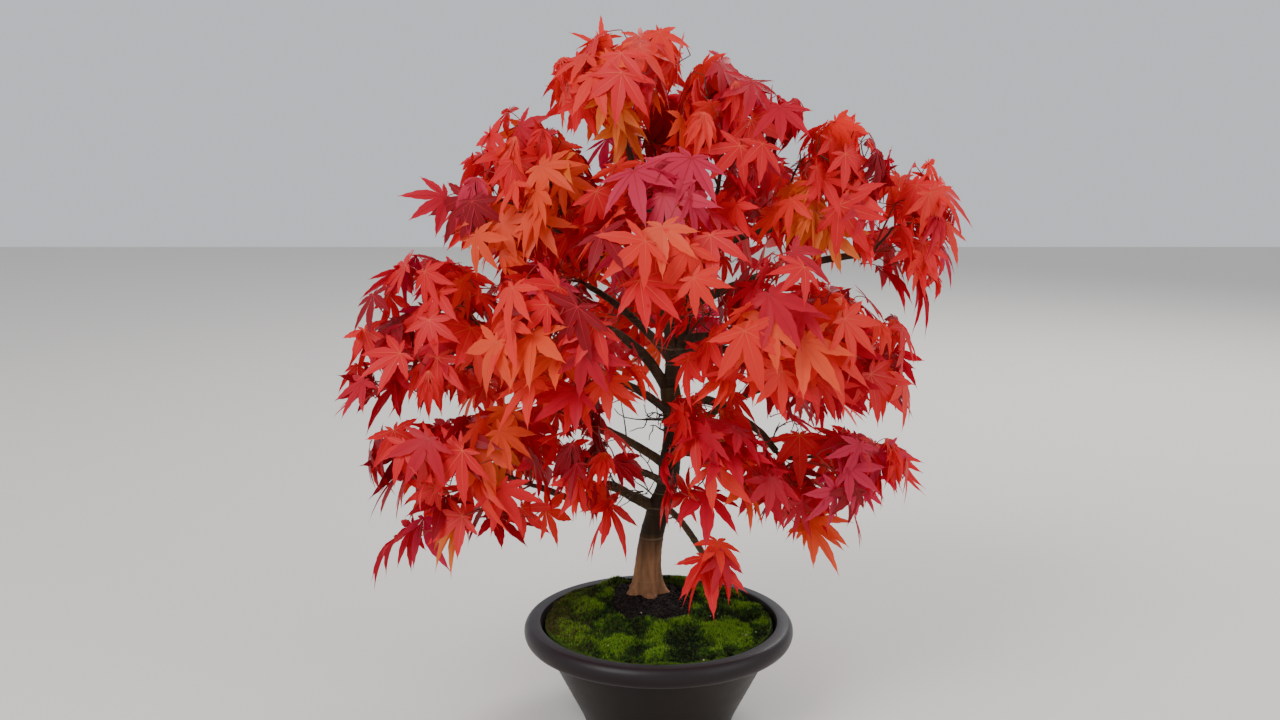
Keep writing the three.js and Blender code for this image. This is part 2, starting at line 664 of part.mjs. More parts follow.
function leavesOf(mass, space, draw) {
  const leaves = [];
  const placed = [];
  const tried = [];
  const place = (centre, isEdge) => {
    tried.push(centre);
    const frame = chooseLeaf(centre, isEdge, space, placed, draw);
    if (!frame) return;
    const points = lobePoints(centre, frame);
    leaves.push({ centre, frame, points, point: points.at(-1) });
    placed.push(...points);
  };
  mass.edge.forEach((middle) => place(vector(middle), true));
  for (let k = 0; k < ANCHORS.rounds * mass.leaves && leaves.length < mass.leaves; k += 1) {
    const centre = freePlace(mass, space, tried, draw);
    if (centre) place(centre, false);
  }
  return leaves;
}

// Growth: the stem goes on from the bough's tip, and each leaf joins where the way to it is short.
function growMass(mass, order) {
  const draw = seededDraws(SEED.step * (order + SEED.first));
  const space = spaceOf(mass);
  const bough = LIMBS.find((limb) => limb.mass === mass.name);
  const tip = bough.line.at(-1);
  const onward = tip.clone().sub(bough.line.at(-2)).normalize();
  const nodes = [
    { point: tip.clone().addScaledVector(onward, SEAT_GAP), parent: -1, way: 0 },
    { point: tip.clone().addScaledVector(onward, TWIG.stem), parent: 0, way: TWIG.stem },
  ];
  const leaves = leavesOf(mass, space, draw);
  const reach = TWIG.radius * mass.leaves ** TWIG.growth;
  const step = (leaf, node) => {
    const samples = samplesBetween(leaf.point, node.point);
    if (!clearOfLimbs(samples, reach)) return Infinity;
    const others = leaves.filter((other) => other !== leaf && other !== node);
    const crosses = nearestGap(samples, others.flatMap((other) => other.points)) < TWIG.leafGap;
    return leaf.point.distanceTo(node.point) + (crosses ? TWIG.crossing : 0);
  };
  leaves.forEach((leaf) => {
    leaf.cost = Infinity;
  });
  const offer = (node, at) => {
    leaves.forEach((leaf) => {
      if (nodes.includes(leaf)) return;
      const length = step(leaf, node);
      const cost = length + TWIG.detour * node.way;
      if (cost >= leaf.cost) return;
      Object.assign(leaf, { cost, parent: at, way: node.way + length });
    });
  };
  offer(nodes[1], 1);
  for (;;) {
    const waiting = leaves.filter((leaf) => leaf.cost < Infinity && !nodes.includes(leaf));
    if (!waiting.length) break;
    const nearest = waiting.reduce((best, leaf) => (leaf.cost < best.cost ? leaf : best));
    nodes.push(nearest);
    offer(nearest, nodes.length - 1);
  }
  return nodes;
}

// Load: how many leaves each node carries, itself and beyond.
function loadsOf(nodes) {
  const loads = nodes.map((node) => (node.frame ? 1 : 0));
  for (let i = nodes.length - 1; i > 0; i -= 1) loads[nodes[i].parent] += loads[i];
  return loads;
}

// Twigs: the heaviest way on from each node is one tube, and the others branch out of it.
function twigLines(nodes, loads) {
  const kids = nodes.map(() => []);
  nodes.forEach((node, i) => {
    if (i > 0) kids[node.parent].push(i);
  });
  kids.forEach((list) => list.sort((a, b) => loads[b] - loads[a] || a - b));
  const lines = [];
  const follow = (start, first) => {
    const line = [start, first];
    for (;;) {
      const here = line.at(-1);
      const back = nodes[here].point.clone().sub(nodes[line.at(-2)].point);
      const onward = kids[here].find((kid) => {
        return nodes[kid].point.clone().sub(nodes[here].point).angleTo(back) < TWIG.turn;
      });
      kids[here].filter((kid) => kid !== onward).forEach((kid) => lines.push([here, kid]));
      if (onward === undefined) break;
      line.push(onward);
    }
    return line;
  };
  lines.push([0, 1]);
  for (let i = 0; i < lines.length; i += 1) lines[i] = follow(...lines[i]);
  return lines;
}

// A branch starts a little way back along its parent twig, and a stalk's root lies inside it.
function pointTowards(from, to, distance) {
  const way = to.clone().sub(from);
  return way.setLength(Math.min(distance, way.length() / 2)).add(from);
}

// A join leaves slivers. They go within the widest tolerance that lets no two corners meet.
function simplified(solid) {
  const cornersApart = (tolerance) => {
    const corners = solid.simplify(tolerance).getMesh().vertProperties;
    const places = new Set();
    for (let i = 0; i < corners.length; i += 3) {
      const place = corners.slice(i, i + 3);
      places.add(place.map((value) => Math.round(value * TWIG.weld)).join());
    }
    return places.size === corners.length / 3;
  };
  return solid.simplify(TWIG.simplify.find(cornersApart) ?? TWIG.simplify.at(-1));
}

function massSolid(nodes) {
  const loads = loadsOf(nodes);
  const thickness = (i) => TWIG.radius * Math.max(loads[i], 1) ** TWIG.growth;
  const pieces = twigLines(nodes, loads).flatMap((line) => {
    const radii = line.map((i, at) => thickness(at === 0 ? line[1] : i));
    const way = line.map((i) => nodes[i].point);
    const origin = nodes[line[0]];
    if (origin.frame) way[0] = pointTowards(origin.point, nodes[origin.parent].point, TWIG.joint);
    const leaves = line.slice(1).flatMap((i, at) => {
      const { centre, frame, point } = nodes[i];
      return frame ? [leafSolid(centre, frame, pointTowards(point, way[at], LEAF.root))] : [];
    });
    return [solidOf(tubeGeometry(way, radii, 3)), ...leaves];
  });
  return wholeOf(simplified(wasm.Manifold.union(pieces).asOriginal()));
}

function massMeshes() {
  return MASSES.map((mass, order) => {
    return meshOf(mass.name, geometryOf(massSolid(growMass(mass, order))), "foliage");
  });
}

const tree = new THREE.Group();
tree.add(meshOf("pot", geometryOf(potSolid()), "pot"));
const soil = soilSolid();
tree.add(meshOf("soil", geometryOf(soil), "soil"));
tree.add(meshOf("moss", geometryOf(mossSolid(soil)), "moss"));
tree.add(...limbMeshes());
tree.add(...massMeshes());

export default tree;
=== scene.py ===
# Dresses the packed model of a potted Japanese maple bonsai in autumn leaf: each solid is
# replaced by a finished piece.
# The limbs, twigs and leaves grow by the same seeded rule as the solids, carried to finer twigs.
# Sizes are in millimetres until a mesh is made; the frame itself is in metres.
import itertools
import json
import math
from types import SimpleNamespace as Values

import bpy
import numpy as np
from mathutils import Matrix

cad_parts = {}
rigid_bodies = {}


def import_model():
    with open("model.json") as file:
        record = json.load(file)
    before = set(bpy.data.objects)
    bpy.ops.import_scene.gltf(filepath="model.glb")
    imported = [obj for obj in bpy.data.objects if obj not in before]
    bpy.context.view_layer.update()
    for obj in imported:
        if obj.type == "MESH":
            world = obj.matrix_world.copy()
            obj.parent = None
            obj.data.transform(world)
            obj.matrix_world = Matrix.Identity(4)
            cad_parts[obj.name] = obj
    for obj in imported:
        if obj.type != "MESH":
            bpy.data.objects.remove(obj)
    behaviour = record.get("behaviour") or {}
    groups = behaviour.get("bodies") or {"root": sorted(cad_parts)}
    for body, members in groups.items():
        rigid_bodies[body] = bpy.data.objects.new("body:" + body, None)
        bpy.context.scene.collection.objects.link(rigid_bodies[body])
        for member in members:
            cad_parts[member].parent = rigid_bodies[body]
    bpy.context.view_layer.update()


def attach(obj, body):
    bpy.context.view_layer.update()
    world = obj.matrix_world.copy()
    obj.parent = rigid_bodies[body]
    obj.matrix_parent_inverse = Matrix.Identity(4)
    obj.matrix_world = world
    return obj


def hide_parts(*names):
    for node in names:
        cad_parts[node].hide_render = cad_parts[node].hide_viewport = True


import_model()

MM = 0.001
UP = np.array([0.0, 0.0, 1.0])
FAR = 1e3

# Camera: where the photograph was taken from, worked out from the lip's ellipse.
CAMERA = Values(
    place=(-0.0166, -1.1902, 0.548), tilt_down=10.64, lens=39.4, sensor=36.0, clip_start=0.01,
)

# Pot and mound: the sizes of the solids.
POT = Values(
    lip_radius=120, lip_top=90, lip_height=18, lip_round=7, lip_under=5, rim_ease=2,
    opening_radius=105, neck_radius=103, base_radius=67.5, foot_rise=4, foot_ease=1.2, wall=3.5,
    floor=14, disc_radius=57,
)
# The arches between the feet: bearing, half width and rise of each.
FOOT_ARCHES = [(-90, 54, 10), (90, 54, 10), (0, 13, 7), (180, 13, 7)]
MOUND = Values(top=98, rim=84, pad_radius=25)
SEAT_GAP = 0.3
WALL_GAP = 0.6

# Trunk: centre line from the soil to the fork, and its radius by height above the soil.
TRUNK = Values(
    line=[
        (-10, 46, 98.3), (-9, 46, 128), (-5.5, 45, 154), (1.5, 42, 179),
        (8, 40, 200), (11.5, 36, 230), (13, 32, 258), (10.5, 28, 296),
    ],
    foot_radius=12.6, fork_radius=8, taper=1.5, flare=5.5, flare_height=10,
    root_ridges=5, ridge_turn=0.6, ridge_depth=0.22, stations=15, crowding=1.3,
)
FOOT = np.array([*TRUNK.line[0][:2], MOUND.top], float)
CROWN_MIDDLE = np.array([0, FOOT[1] / 2])


def mass(name, centre, reach, leaves, warmth, edge=(), folded=0.12):
    """One mass: its outline, its leaves, and how warm in colour and how folded they are."""
    return Values(
        name="foliage_" + name, centre=np.array(centre, float), reach=np.array(reach, float),
        leaves=leaves, edge=np.array(edge, float), warmth=warmth, folded=folded)


MASSES = [
    mass("apex", (-34, 10, 548), (70, 62, 62), 15, 0.8,
         [(-52, 6, 598), (-8, 14, 584), (-74, 2, 566)]),
    mass("top_right", (58, -5, 512), (82, 62, 68), 17, 0.25,
         [(26, 4, 566), (66, 0, 562), (98, 0, 536)], 0.6),
    mass("top_back", (0, 95, 482), (76, 62, 62), 11, 0.35),
    mass("upper_left", (-112, 0, 460), (98, 66, 68), 21, 0.65,
         [(-186, 12, 428), (-96, -4, 512), (-200, 4, 404)]),
    mass("upper_right", (136, 0, 458), (80, 64, 64), 15, 0.2, [(154, 0, 492)], 0.4),
    mass("right_arm", (206, 12, 424), (56, 54, 64), 10, 0.2, [(222, 10, 452), (214, 8, 404)], 0.3),
    mass("centre_front", (0, -95, 425), (78, 62, 76), 14, 0.5, [(20, -128, 384)]),
    mass("left_mid", (-182, -10, 340), (98, 68, 70), 19, 0.12,
         [(-240, 0, 326), (-224, -12, 362)]),
    mass("left_front", (-78, -105, 346), (72, 60, 70), 13, 0.4),
    mass("right_front", (88, -95, 356), (74, 62, 74), 14, 0.3),
    mass("right_mid", (156, 5, 326), (70, 68, 86), 15, 0.15, [(190, 5, 278)]),
    mass("left_low", (-160, -30, 230), (100, 70, 76), 21, 0.3,
         [(-216, -40, 182), (-222, -30, 232), (-76, -34, 232)]),
    mass("right_low", (146, -10, 226), (68, 66, 72), 15, 0.2,
         [(130, -20, 184), (184, -10, 250)]),
    mass("right_inner", (52, -68, 252), (52, 54, 70), 9, 0.2, [(38, -68, 226)]),
    mass("left_inner", (-48, -56, 250), (46, 52, 66), 8, 0.3, [(-44, -56, 208)]),
    mass("low_sprig", (46, -54, 156), (28, 30, 36), 2, 0.3, [(40, -58, 166)]),
    mass("back_mid", (10, 145, 335), (84, 62, 70), 12, 0.4),
    mass("back_upper_left", (-98, 115, 402), (78, 64, 66), 12, 0.55),
    mass("back_upper_right", (98, 115, 436), (76, 62, 60), 10, 0.3),
    mass("back_left_low", (-128, 105, 275), (76, 64, 68), 12, 0.4),
    mass("back_right_low", (136, 105, 300), (76, 64, 72), 12, 0.25),
]


def bough(parent, at, mass_name, radius, lift=None, via=None, name=None):
    """One bough: where it leaves its parent, the mass that it ends in, and its bend."""
    return Values(name=name or "bough_" + mass_name, parent=parent, at=at,
                  mass="foliage_" + mass_name, radius=radius, lift=lift, via=via)


BOUGHS = [
    bough("trunk", 1, "apex", 6.4, name="leader",
          via=[(11, 26, 330), (5, 23, 375), (-3, 20, 420), (-14, 17, 460)]),
    bough("leader", 0.02, "top_right", 5, name="right_stem",
          via=[(22, 25, 345), (29, 22, 385), (38, 14, 430)]),
    bough("trunk", 0.42, "left_low", 5.4, via=[(-22, 36, 191), (-48, 24, 206), (-72, 10, 197)]),
    bough("trunk", 0.93, "right_low", 4.6, via=[(45, 20, 284), (85, 6, 262)]),
    bough("trunk", 0.97, "left_mid", 5, via=[(-18, 20, 330), (-60, 8, 352)]),
    bough("right_stem", 0.12, "right_mid", 4.6, 14),
    bough("leader", 0.34, "upper_left", 4.4, 14),
    bough("right_stem", 0.62, "upper_right", 4, 10),
    bough("right_stem", 0.4, "right_arm", 4.2, 14),
    bough("leader", 0.7, "top_back", 3.6, 8),
    bough("leader", 0.33, "centre_front", 4, 12),
    bough("trunk", 0.9, "left_front", 4, 12),
    bough("right_stem", 0.2, "right_front", 4, 10),
    bough("trunk", 0.72, "right_inner", 3.2, 6),
    bough("trunk", 0.58, "left_inner", 3.2, 6),
    bough("trunk", 0.46, "low_sprig", 2.6, 10),
    bough("trunk", 0.86, "back_mid", 4.2, 10),
    bough("leader", 0.15, "back_upper_left", 4.2, 12),
    bough("leader", 0.5, "back_upper_right", 4, 10),
    bough("trunk", 0.66, "back_left_low", 4.2, 10),
    bough("trunk", 0.79, "back_right_low", 4.2, 8),
]
BOUGH = Values(
    tip_radius=2.8, taper=0.8, station=32, fewest_stations=3, entry=0.7, entry_room=7, back=0.95,
    before_end=0.9999,
)

# Growth rule: the solids' values for twigs, leaves and their places.
TWIG = Values(
    stem=8, detour=0.2, turn=1.6, sampling=6, crossing=30, leaf_gap=3, radius=1.1, growth=0.34,
)
LEAF = Values(length=56, curl=0.2, stalk=0.38, shrink=0.35)
COARSE = Values(
    size=1, tries=30, apart=6, plenty=12, half_width=6.5, beyond=14, bridge=0, from_mass=1.2,
    from_crown=0.45, spread=1.9, roll=2.2, rise=0.25,
)
# Finer leaves also bridge the gap to a mass nearby, and keep out of the open places.
FINE = Values(
    size=0.84, tries=18, apart=1.5, plenty=7, half_width=4, beyond=-4, bridge=2.7, from_mass=0.6,
    from_crown=0.8, spread=2.8, roll=3.2, rise=-0.6, root_outside=0.02,
)
# At the outermost leaves hang a few more, turned aside so that they show their faces.
SPRAY = Values(**{**vars(FINE), "size": 0.92, "beyond": 20, "spread": 1.3, "root_outside": 0.25})
SPRAY_PLACES = [(0.1, 1.4), (0.26, -1.4)]
FINE_SHARE = 2.5
RIM_BEARINGS = np.array([-150, -97, -66, -44, -20, 0, 20, 44, 66, 97, 150.0])
RIM_REACHES = np.array([0.1, 0.66, 0.36, 0.92, 0.42, 1, 0.42, 0.92, 0.36, 0.66, 0.1])
LOBE = Values(shortest=0.5, marks=(0.25, 0.5, 0.75, 1))
HEADING = Values(droop=0.35, droop_spread=0.85, loosen=1.6)
MIDDLE_DRAW = 0.5
SPACE = Values(margin=0.25, edge_beyond=40, floor=112, limb_gap=0.6, node_room=3.6)
ANCHORS = Values(candidates=14, rounds=6, core=0.3, shrink=0.5, lift=0.14, room=8, wider=1.04)
# Open places where the crown lets the light through: centre and reach of each.
OPEN = [
    ((-22, 20, 268), (24, 170, 38)), ((-16, 20, 206), (16, 130, 22)),
    ((38, 10, 238), (15, 120, 30)), ((104, 10, 272), (22, 140, 24)),
    ((116, 10, 404), (24, 150, 14)), ((184, 20, 384), (26, 120, 12)),
]
OPEN_CENTRES, OPEN_REACHES = np.array(OPEN, float).transpose(1, 0, 2)
SEED = Values(step=104729, first=3, factor=16807, modulus=2147483647)


# Seeded draws between 0 and 1, by the same sum as in the solids.
def seeded_draws(seed):
    state = seed

    def draw():
        nonlocal state
        state = state * SEED.factor % SEED.modulus
        return state / SEED.modulus

    draw()
    draw()
    return draw


def unit(vector):
    return vector / np.linalg.norm(vector)


# Spaces: each mass keeps to its side of a plane between it and every other mass.
class Space:
    def __init__(self, own):
        self.centre = own.centre
        self.reach = own.reach
        others = [other for other in MASSES if other is not own]
        towards = np.array([other.centre for other in others]) - self.centre
        apart = np.linalg.norm(towards, axis=1)
        sizes = np.array([other.reach.mean() for other in others])
        self.other_centres = np.array([other.centre for other in others])
        self.other_reaches = np.array([other.reach for other in others])
        self.normals = towards / apart[:, None]
        self.distances = (apart ** 2 + self.reach.mean() ** 2 - sizes ** 2) / (2 * apart)

    def room(self, points):
        to_planes = self.distances - (points - self.centre) @ self.normals.T
        return np.minimum(to_planes.min(axis=-1), points[..., 2] - SPACE.floor)

    def outline(self, points, beyond=0.0):
        return np.linalg.norm((points - self.centre) / (self.reach + beyond), axis=-1)

    def bridges(self, points, span):
        """Whether each point lies between this mass and one nearby."""
        others = np.linalg.norm((points[:, None] - self.other_centres) / self.other_reaches, axis=-1)
        return self.outline(points) + others.min(axis=1) < span


# Curves: the same two kinds as in the solids, at any number of stations.
def through_points(stops):
    stops = np.array(stops, float)
    ends = np.vstack([2 * stops[0] - stops[1], stops, 2 * stops[-1] - stops[-2]])

    def at(share):
        place = share * (len(stops) - 1)
        first = min(int(place), len(stops) - 2)
        w = place - first
        a, b, c, d = ends[first:first + 4]
        t0 = (c - a) / 2
        t1 = (d - b) / 2
        return b + t0 * w + (3 * (c - b) - 2 * t0 - t1) * w ** 2 + (2 * (b - c) + t0 + t1) * w ** 3

    return at


def bowed(start, end, lift):
    middle = (start + end) / 2 + UP * lift
    return lambda t: (1 - t) ** 2 * start + 2 * t * (1 - t) * middle + t ** 2 * end


def bough_tip(base, space):
    towards = base - space.centre
    share = BOUGH.entry / space.outline(base)
    while space.room(space.centre + towards * share) < BOUGH.entry_room:
        share *= BOUGH.back
    return space.centre + towards * share


def trunk_radius(height):
    share = np.clip(height / (TRUNK.line[-1][2] - MOUND.top), 0, 1)
    taper = (TRUNK.foot_radius - TRUNK.fork_radius) * (1 - share) ** TRUNK.taper
    return TRUNK.fork_radius + taper + TRUNK.flare * np.exp(-height / TRUNK.flare_height)


def trunk_limb():
    curve = through_points(TRUNK.line)
    steps = TRUNK.stations
    line = np.array([curve((i / steps) ** TRUNK.crowding) for i in range(steps + 1)])
    radii = trunk_radius(line[:, 2] - MOUND.top)
    return Values(name="trunk", mass=None, curve=curve, line=line, radii=radii)


def bough_radius(own, share):
    return own.radius + (BOUGH.tip_radius - own.radius) * share ** BOUGH.taper


def bough_limb(own, parent):
    space = Space(next(each for each in MASSES if each.name == own.mass))
    base = parent.curve(own.at)
    if own.at == 1:
        base = base + SEAT_GAP * unit(base - parent.curve(BOUGH.before_end))
    tip = bough_tip(base, space)
    curve = through_points([base, *own.via, tip]) if own.via else bowed(base, tip, own.lift)
    count = math.floor(np.linalg.norm(tip - base) / BOUGH.station + 0.5)
    shares = np.arange(max(BOUGH.fewest_stations, count) + 1)
    shares = shares / shares[-1]
    line = np.array([curve(share) for share in shares])
    return Values(name=own.name, mass=own.mass, curve=curve, line=line,
                  radii=bough_radius(own, shares))


LIMBS = {"trunk": trunk_limb()}
for each_bough in BOUGHS:
    LIMBS[each_bough.name] = bough_limb(each_bough, LIMBS[each_bough.parent])

# Limb clearance: every limb as a chain of capsules.
starts = np.vstack([limb.line[:-1] for limb in LIMBS.values()])
alongs = np.vstack([limb.line[1:] - limb.line[:-1] for limb in LIMBS.values()])
girths = np.concatenate([
    np.maximum(limb.radii[:-1], limb.radii[1:])
    * (1 + TRUNK.ridge_depth if limb.name == "trunk" else 1)
    for limb in LIMBS.values()
])


def limb_clearance(points):
    """How far each point is from the nearest limb's surface."""
    offsets = points[:, None] - starts
    shares = np.clip((offsets * alongs).sum(-1) / (alongs ** 2).sum(-1), 0, 1)
    away = np.linalg.norm(offsets - shares[..., None] * alongs, axis=-1)
    return (away - girths).min(axis=1)


# Leaf: lies across its normal, with the middle lobe along its heading and the tips curled under.
def leaf_heading(point, space, rule, aside, looseness, draw):
    own = (point - space.centre)[:2] * rule.from_mass
    crown = (point[:2] - CROWN_MIDDLE) * rule.from_crown
    flat = own + crown
    bearing = math.atan2(flat[1], flat[0]) + aside + (draw() - 0.5) * rule.spread * looseness
    droop = HEADING.droop + HEADING.droop_spread * draw()
    roll = (draw() - 0.5) * rule.roll
    return bearing, droop, roll


def leaf_frame(bearing, droop, roll, size, rise):
    level = np.array([math.cos(bearing), math.sin(bearing), 0])
    along = level * math.cos(droop) - UP * math.sin(droop)
    face = level * math.sin(droop) + UP * math.cos(droop)
    normal = face * math.cos(roll) + np.cross(face, along) * math.sin(roll)
    return Values(along=along, normal=normal, across=np.cross(normal, along), size=size, rise=rise)


def leaf_points(centre, look, bearings, reaches):
    angles = np.radians(bearings)[:, None]
    lengths = (reaches * LEAF.length * look.size)[:, None]
    flat = look.along * np.cos(angles) + look.across * np.sin(angles)
    return centre + flat * lengths - look.normal * (LEAF.curl * reaches[:, None] * lengths)


def stalk_root(centre, look):
    back = -look.along * np.array([1, 1, look.rise])
    return centre + unit(back) * LEAF.stalk * LEAF.length * look.size


def rim_points(centre, look):
    blade = leaf_points(centre, look, RIM_BEARINGS, RIM_REACHES)
    return np.vstack([blade, stalk_root(centre, look)])


LOBES = RIM_REACHES > LOBE.shortest
MARK_BEARINGS = np.repeat(RIM_BEARINGS[LOBES], len(LOBE.marks))
MARK_REACHES = np.outer(RIM_REACHES[LOBES], LOBE.marks).ravel()


def lobe_points(centre, look):
    marks = leaf_points(centre, look, MARK_BEARINGS, MARK_REACHES)
    return np.vstack([centre, marks, stalk_root(centre, look)])


def in_the_open(points):
    offsets = (points[:, None] - OPEN_CENTRES) / OPEN_REACHES
    return (np.linalg.norm(offsets, axis=-1) < 1).any()


def leaf_fits(centre, look, space, beyond, rule):
    rim = rim_points(centre, look)
    rooms = space.room(rim)
    if rooms[-1] < SPACE.node_room or rooms.min() < SPACE.margin:
        return False
    outside = space.outline(rim, beyond) > 1
    if outside.any() and not space.bridges(rim[outside], rule.bridge).all():
        return False
    if rule.bridge:
        root_outside = space.outline(rim[-1]) - space.outline(centre)
        if root_outside > rule.root_outside or in_the_open(rim):
            return False
    return limb_clearance(lobe_points(centre, look)).min() > rule.half_width + SPACE.limb_gap


def gaps_between(points, others):
    """How far each point is from the nearest of the others."""
    if not len(others):
        return np.full(len(points), FAR)
    squares = (points ** 2).sum(1)[:, None] + (others ** 2).sum(1) - 2 * points @ others.T
    return np.sqrt(np.maximum(squares.min(axis=1), 0))


# Places for leaves: spread evenly through the space, and closest near its outline.
def free_place(own, space, tried, rule, draw):
    shrink = ANCHORS.shrink * LEAF.length
    reach = np.maximum(own.reach - shrink, ANCHORS.core * own.reach)
    widest = own.reach * ANCHORS.wider if rule.bridge else reach
    middle = space.centre + UP * ANCHORS.lift * LEAF.length
    best = None
    best_gap = -1
    for _ in range(ANCHORS.candidates):
        height = 2 * draw() - 1
        around = 2 * math.pi * draw()
        share = ANCHORS.core + (1 - ANCHORS.core) * draw() ** (1 / 3)
        ring = math.sqrt(1 - height * height)
        offset = np.array([ring * math.cos(around), ring * math.sin(around), height])
        point = middle + offset * widest * share
        if space.room(point) < ANCHORS.room:
            continue
        inside = np.linalg.norm((point - middle) / reach) <= 1 or not rule.bridge
        if not inside and not space.bridges(point[None], rule.bridge)[0]:
            continue
        gap = gaps_between(point[None], np.array(tried)).min()
        if gap > best_gap:
            best = point
            best_gap = gap
    return best


# Of several headings a leaf takes the one farthest from the leaves before it, or is skipped.
def choose_leaf(centre, is_edge, space, placed, rule, aside, draw):
    beyond = SPACE.edge_beyond if is_edge else rule.beyond
    others = np.array(placed)
    chosen = None
    widest = rule.apart
    for k in range(rule.tries):
        plain = is_edge and k == 0
        late = k / rule.tries
        size = rule.size * (1 - LEAF.shrink * late)
        looseness = 1 + HEADING.loosen * late
        turns = (lambda: MIDDLE_DRAW) if plain else draw
        heading = leaf_heading(centre, space, rule, aside, looseness, turns)
        look = leaf_frame(*heading, size, rule.rise)
        if not leaf_fits(centre, look, space, beyond, rule):
            continue
        gap = min(gaps_between(lobe_points(centre, look), others).min(), FAR)
        if gap <= widest:
            continue
        chosen = look
        widest = gap
        if plain or gap > rule.plenty:
            break
    return chosen


def leaves_of(own, space, draw):
    """The solids' leaves first, then the finer ones between them."""
    leaves = []
    placed = []
    tried = []

    def place(centre, is_edge, rule, aside=0):
        tried.append(centre)
        look = choose_leaf(centre, is_edge, space, placed, rule, aside, draw)
        if look is None:
            return
        points = lobe_points(centre, look)
        leaves.append(Values(centre=centre, look=look, points=points, point=points[-1],
                             coarse=rule is COARSE))
        placed.extend(points)

    for middle in own.edge:
        place(middle, True, COARSE)
    everything = round(own.leaves * (1 + FINE_SHARE))
    for rule, wanted in ((COARSE, own.leaves), (FINE, everything)):
        if rule is FINE:
            for middle, (back, aside) in itertools.product(own.edge, SPRAY_PLACES):
                place(middle + (own.centre - middle) * back, False, SPRAY, aside)
        for _ in range(ANCHORS.rounds * wanted):
            if len(leaves) >= wanted:
                break
            centre = free_place(own, space, tried, rule, draw)
            if centre is not None:
                place(centre, False, rule)
    return leaves


# Growth: the stem goes on from the bough's tip, and each leaf joins where the way to it is short.
def way_costs(leaves, node, reach, leaf_gap):
    """The cost of a straight twig from the node to each leaf, infinite where a limb is hit."""
    ends = np.array([leaf.point for leaf in leaves])
    spans = np.linalg.norm(ends - node.point, axis=1)
    counts = np.ceil(spans / TWIG.sampling).astype(int)
    shares = [np.linspace(0, 1, count + 1)[:, None] for count in counts]
    rows = [end + (node.point - end) * share for end, share in zip(ends, shares)]
    samples = np.vstack(rows)
    owners = np.repeat(np.arange(len(leaves)), [len(row) for row in rows])
    blocked = np.zeros(len(leaves), bool)
    np.logical_or.at(blocked, owners, limb_clearance(samples) <= reach + SPACE.limb_gap)
    crosses = np.zeros(len(leaves), bool)
    for i, other in enumerate(leaves):
        near = gaps_between(samples, other.points) < leaf_gap
        np.logical_or.at(crosses, owners, near & (owners != i))
    return np.where(blocked, np.inf, spans + np.where(crosses, TWIG.crossing, 0))


def join_leaves(nodes, leaves, reach, leaf_gap):
    """Joins the leaves to the nodes one by one, the cheapest first."""
    costs = np.full(len(leaves), np.inf)
    parents = np.zeros(len(leaves), int)
    ways = np.zeros(len(leaves))
    joined = np.zeros(len(leaves), bool)

    def offer(at):
        spans = way_costs(leaves, nodes[at], reach, leaf_gap)
        offers = spans + TWIG.detour * nodes[at].way
        better = (offers < costs) & ~joined
        costs[better] = offers[better]
        parents[better] = at
        ways[better] = nodes[at].way + spans[better]

    for at in range(1, len(nodes)):
        offer(at)
    while np.isfinite(costs[~joined]).any():
        nearest = int(np.argmin(np.where(joined, np.inf, costs)))
        joined[nearest] = True
        nodes.append(Values(**vars(leaves[nearest]), parent=parents[nearest], way=ways[nearest]))
        offer(len(nodes) - 1)


def grow_mass(own, order):
    draw = seeded_draws(SEED.step * (order + SEED.first))
    space = Space(own)
    limb = next(each for each in LIMBS.values() if each.mass == own.name)
    tip = limb.line[-1]
    onward = unit(tip - limb.line[-2])
    nodes = [
        Values(point=tip - onward, parent=-1, way=0.0, look=None),
        Values(point=tip + onward * TWIG.stem, parent=0, way=TWIG.stem, look=None),
    ]
    leaves = leaves_of(own, space, draw)
    coarse = [leaf for leaf in leaves if leaf.coarse]
    fine = [leaf for leaf in leaves if not leaf.coarse]
    join_leaves(nodes, coarse, TWIG.radius * own.leaves ** TWIG.growth, TWIG.leaf_gap)
    join_leaves(nodes, fine, TWIG.radius, 0.0)
    return nodes


# Meshes: points in millimetres become an object in metres that rides on the frame.
def new_object(name, data):
    made = bpy.data.objects.new(name, data)
    bpy.context.scene.collection.objects.link(made)
    return made


def mesh_object(name, points, faces, material, replaced=(), smooth=True, stage=False):
    data = bpy.data.meshes.new(name)
    data.from_pydata((np.asarray(points) * MM).tolist(), [], [tuple(face) for face in faces])
    data.materials.append(material)
    data.polygons.foreach_set("use_smooth", [smooth] * len(data.polygons))
    data.update()
    piece = new_object(name, data)
    if stage:
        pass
    else:
        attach(piece, "root")
        if replaced:
            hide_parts(*replaced)
    return piece


class Gathered:
    """Points and faces of many small forms that are joined into one mesh."""

    def __init__(self):
        self.points = []
        self.faces = []
        self.count = 0

    def add(self, points, faces):
        self.points.append(np.asarray(points, float))
        self.faces += [tuple(self.count + corner for corner in face) for face in faces]
        self.count += len(points)

    def add_tube(self, *shape):
        self.add(*tube(*shape))

    def piece(self, name, material, replaced, slot, smooth=True):
        mesh_object(name, np.vstack(self.points), self.faces, material, replaced, smooth)


def grid_faces(rows, columns, closed):
    """Faces of a grid of points, row by row. A closed grid joins its last column to its first."""
    faces = []
    for i in range(rows - 1):
        for k in range(columns if closed else columns - 1):
            right = (k + 1) % columns
            faces.append((i * columns + k, i * columns + right,
                          (i + 1) * columns + right, (i + 1) * columns + k))
    return faces


def round_angles(count):
    return 2 * math.pi * np.arange(count) / count


def eased(share):
    """From 0 to 1, level at both ends."""
    return share * share * (3 - 2 * share)


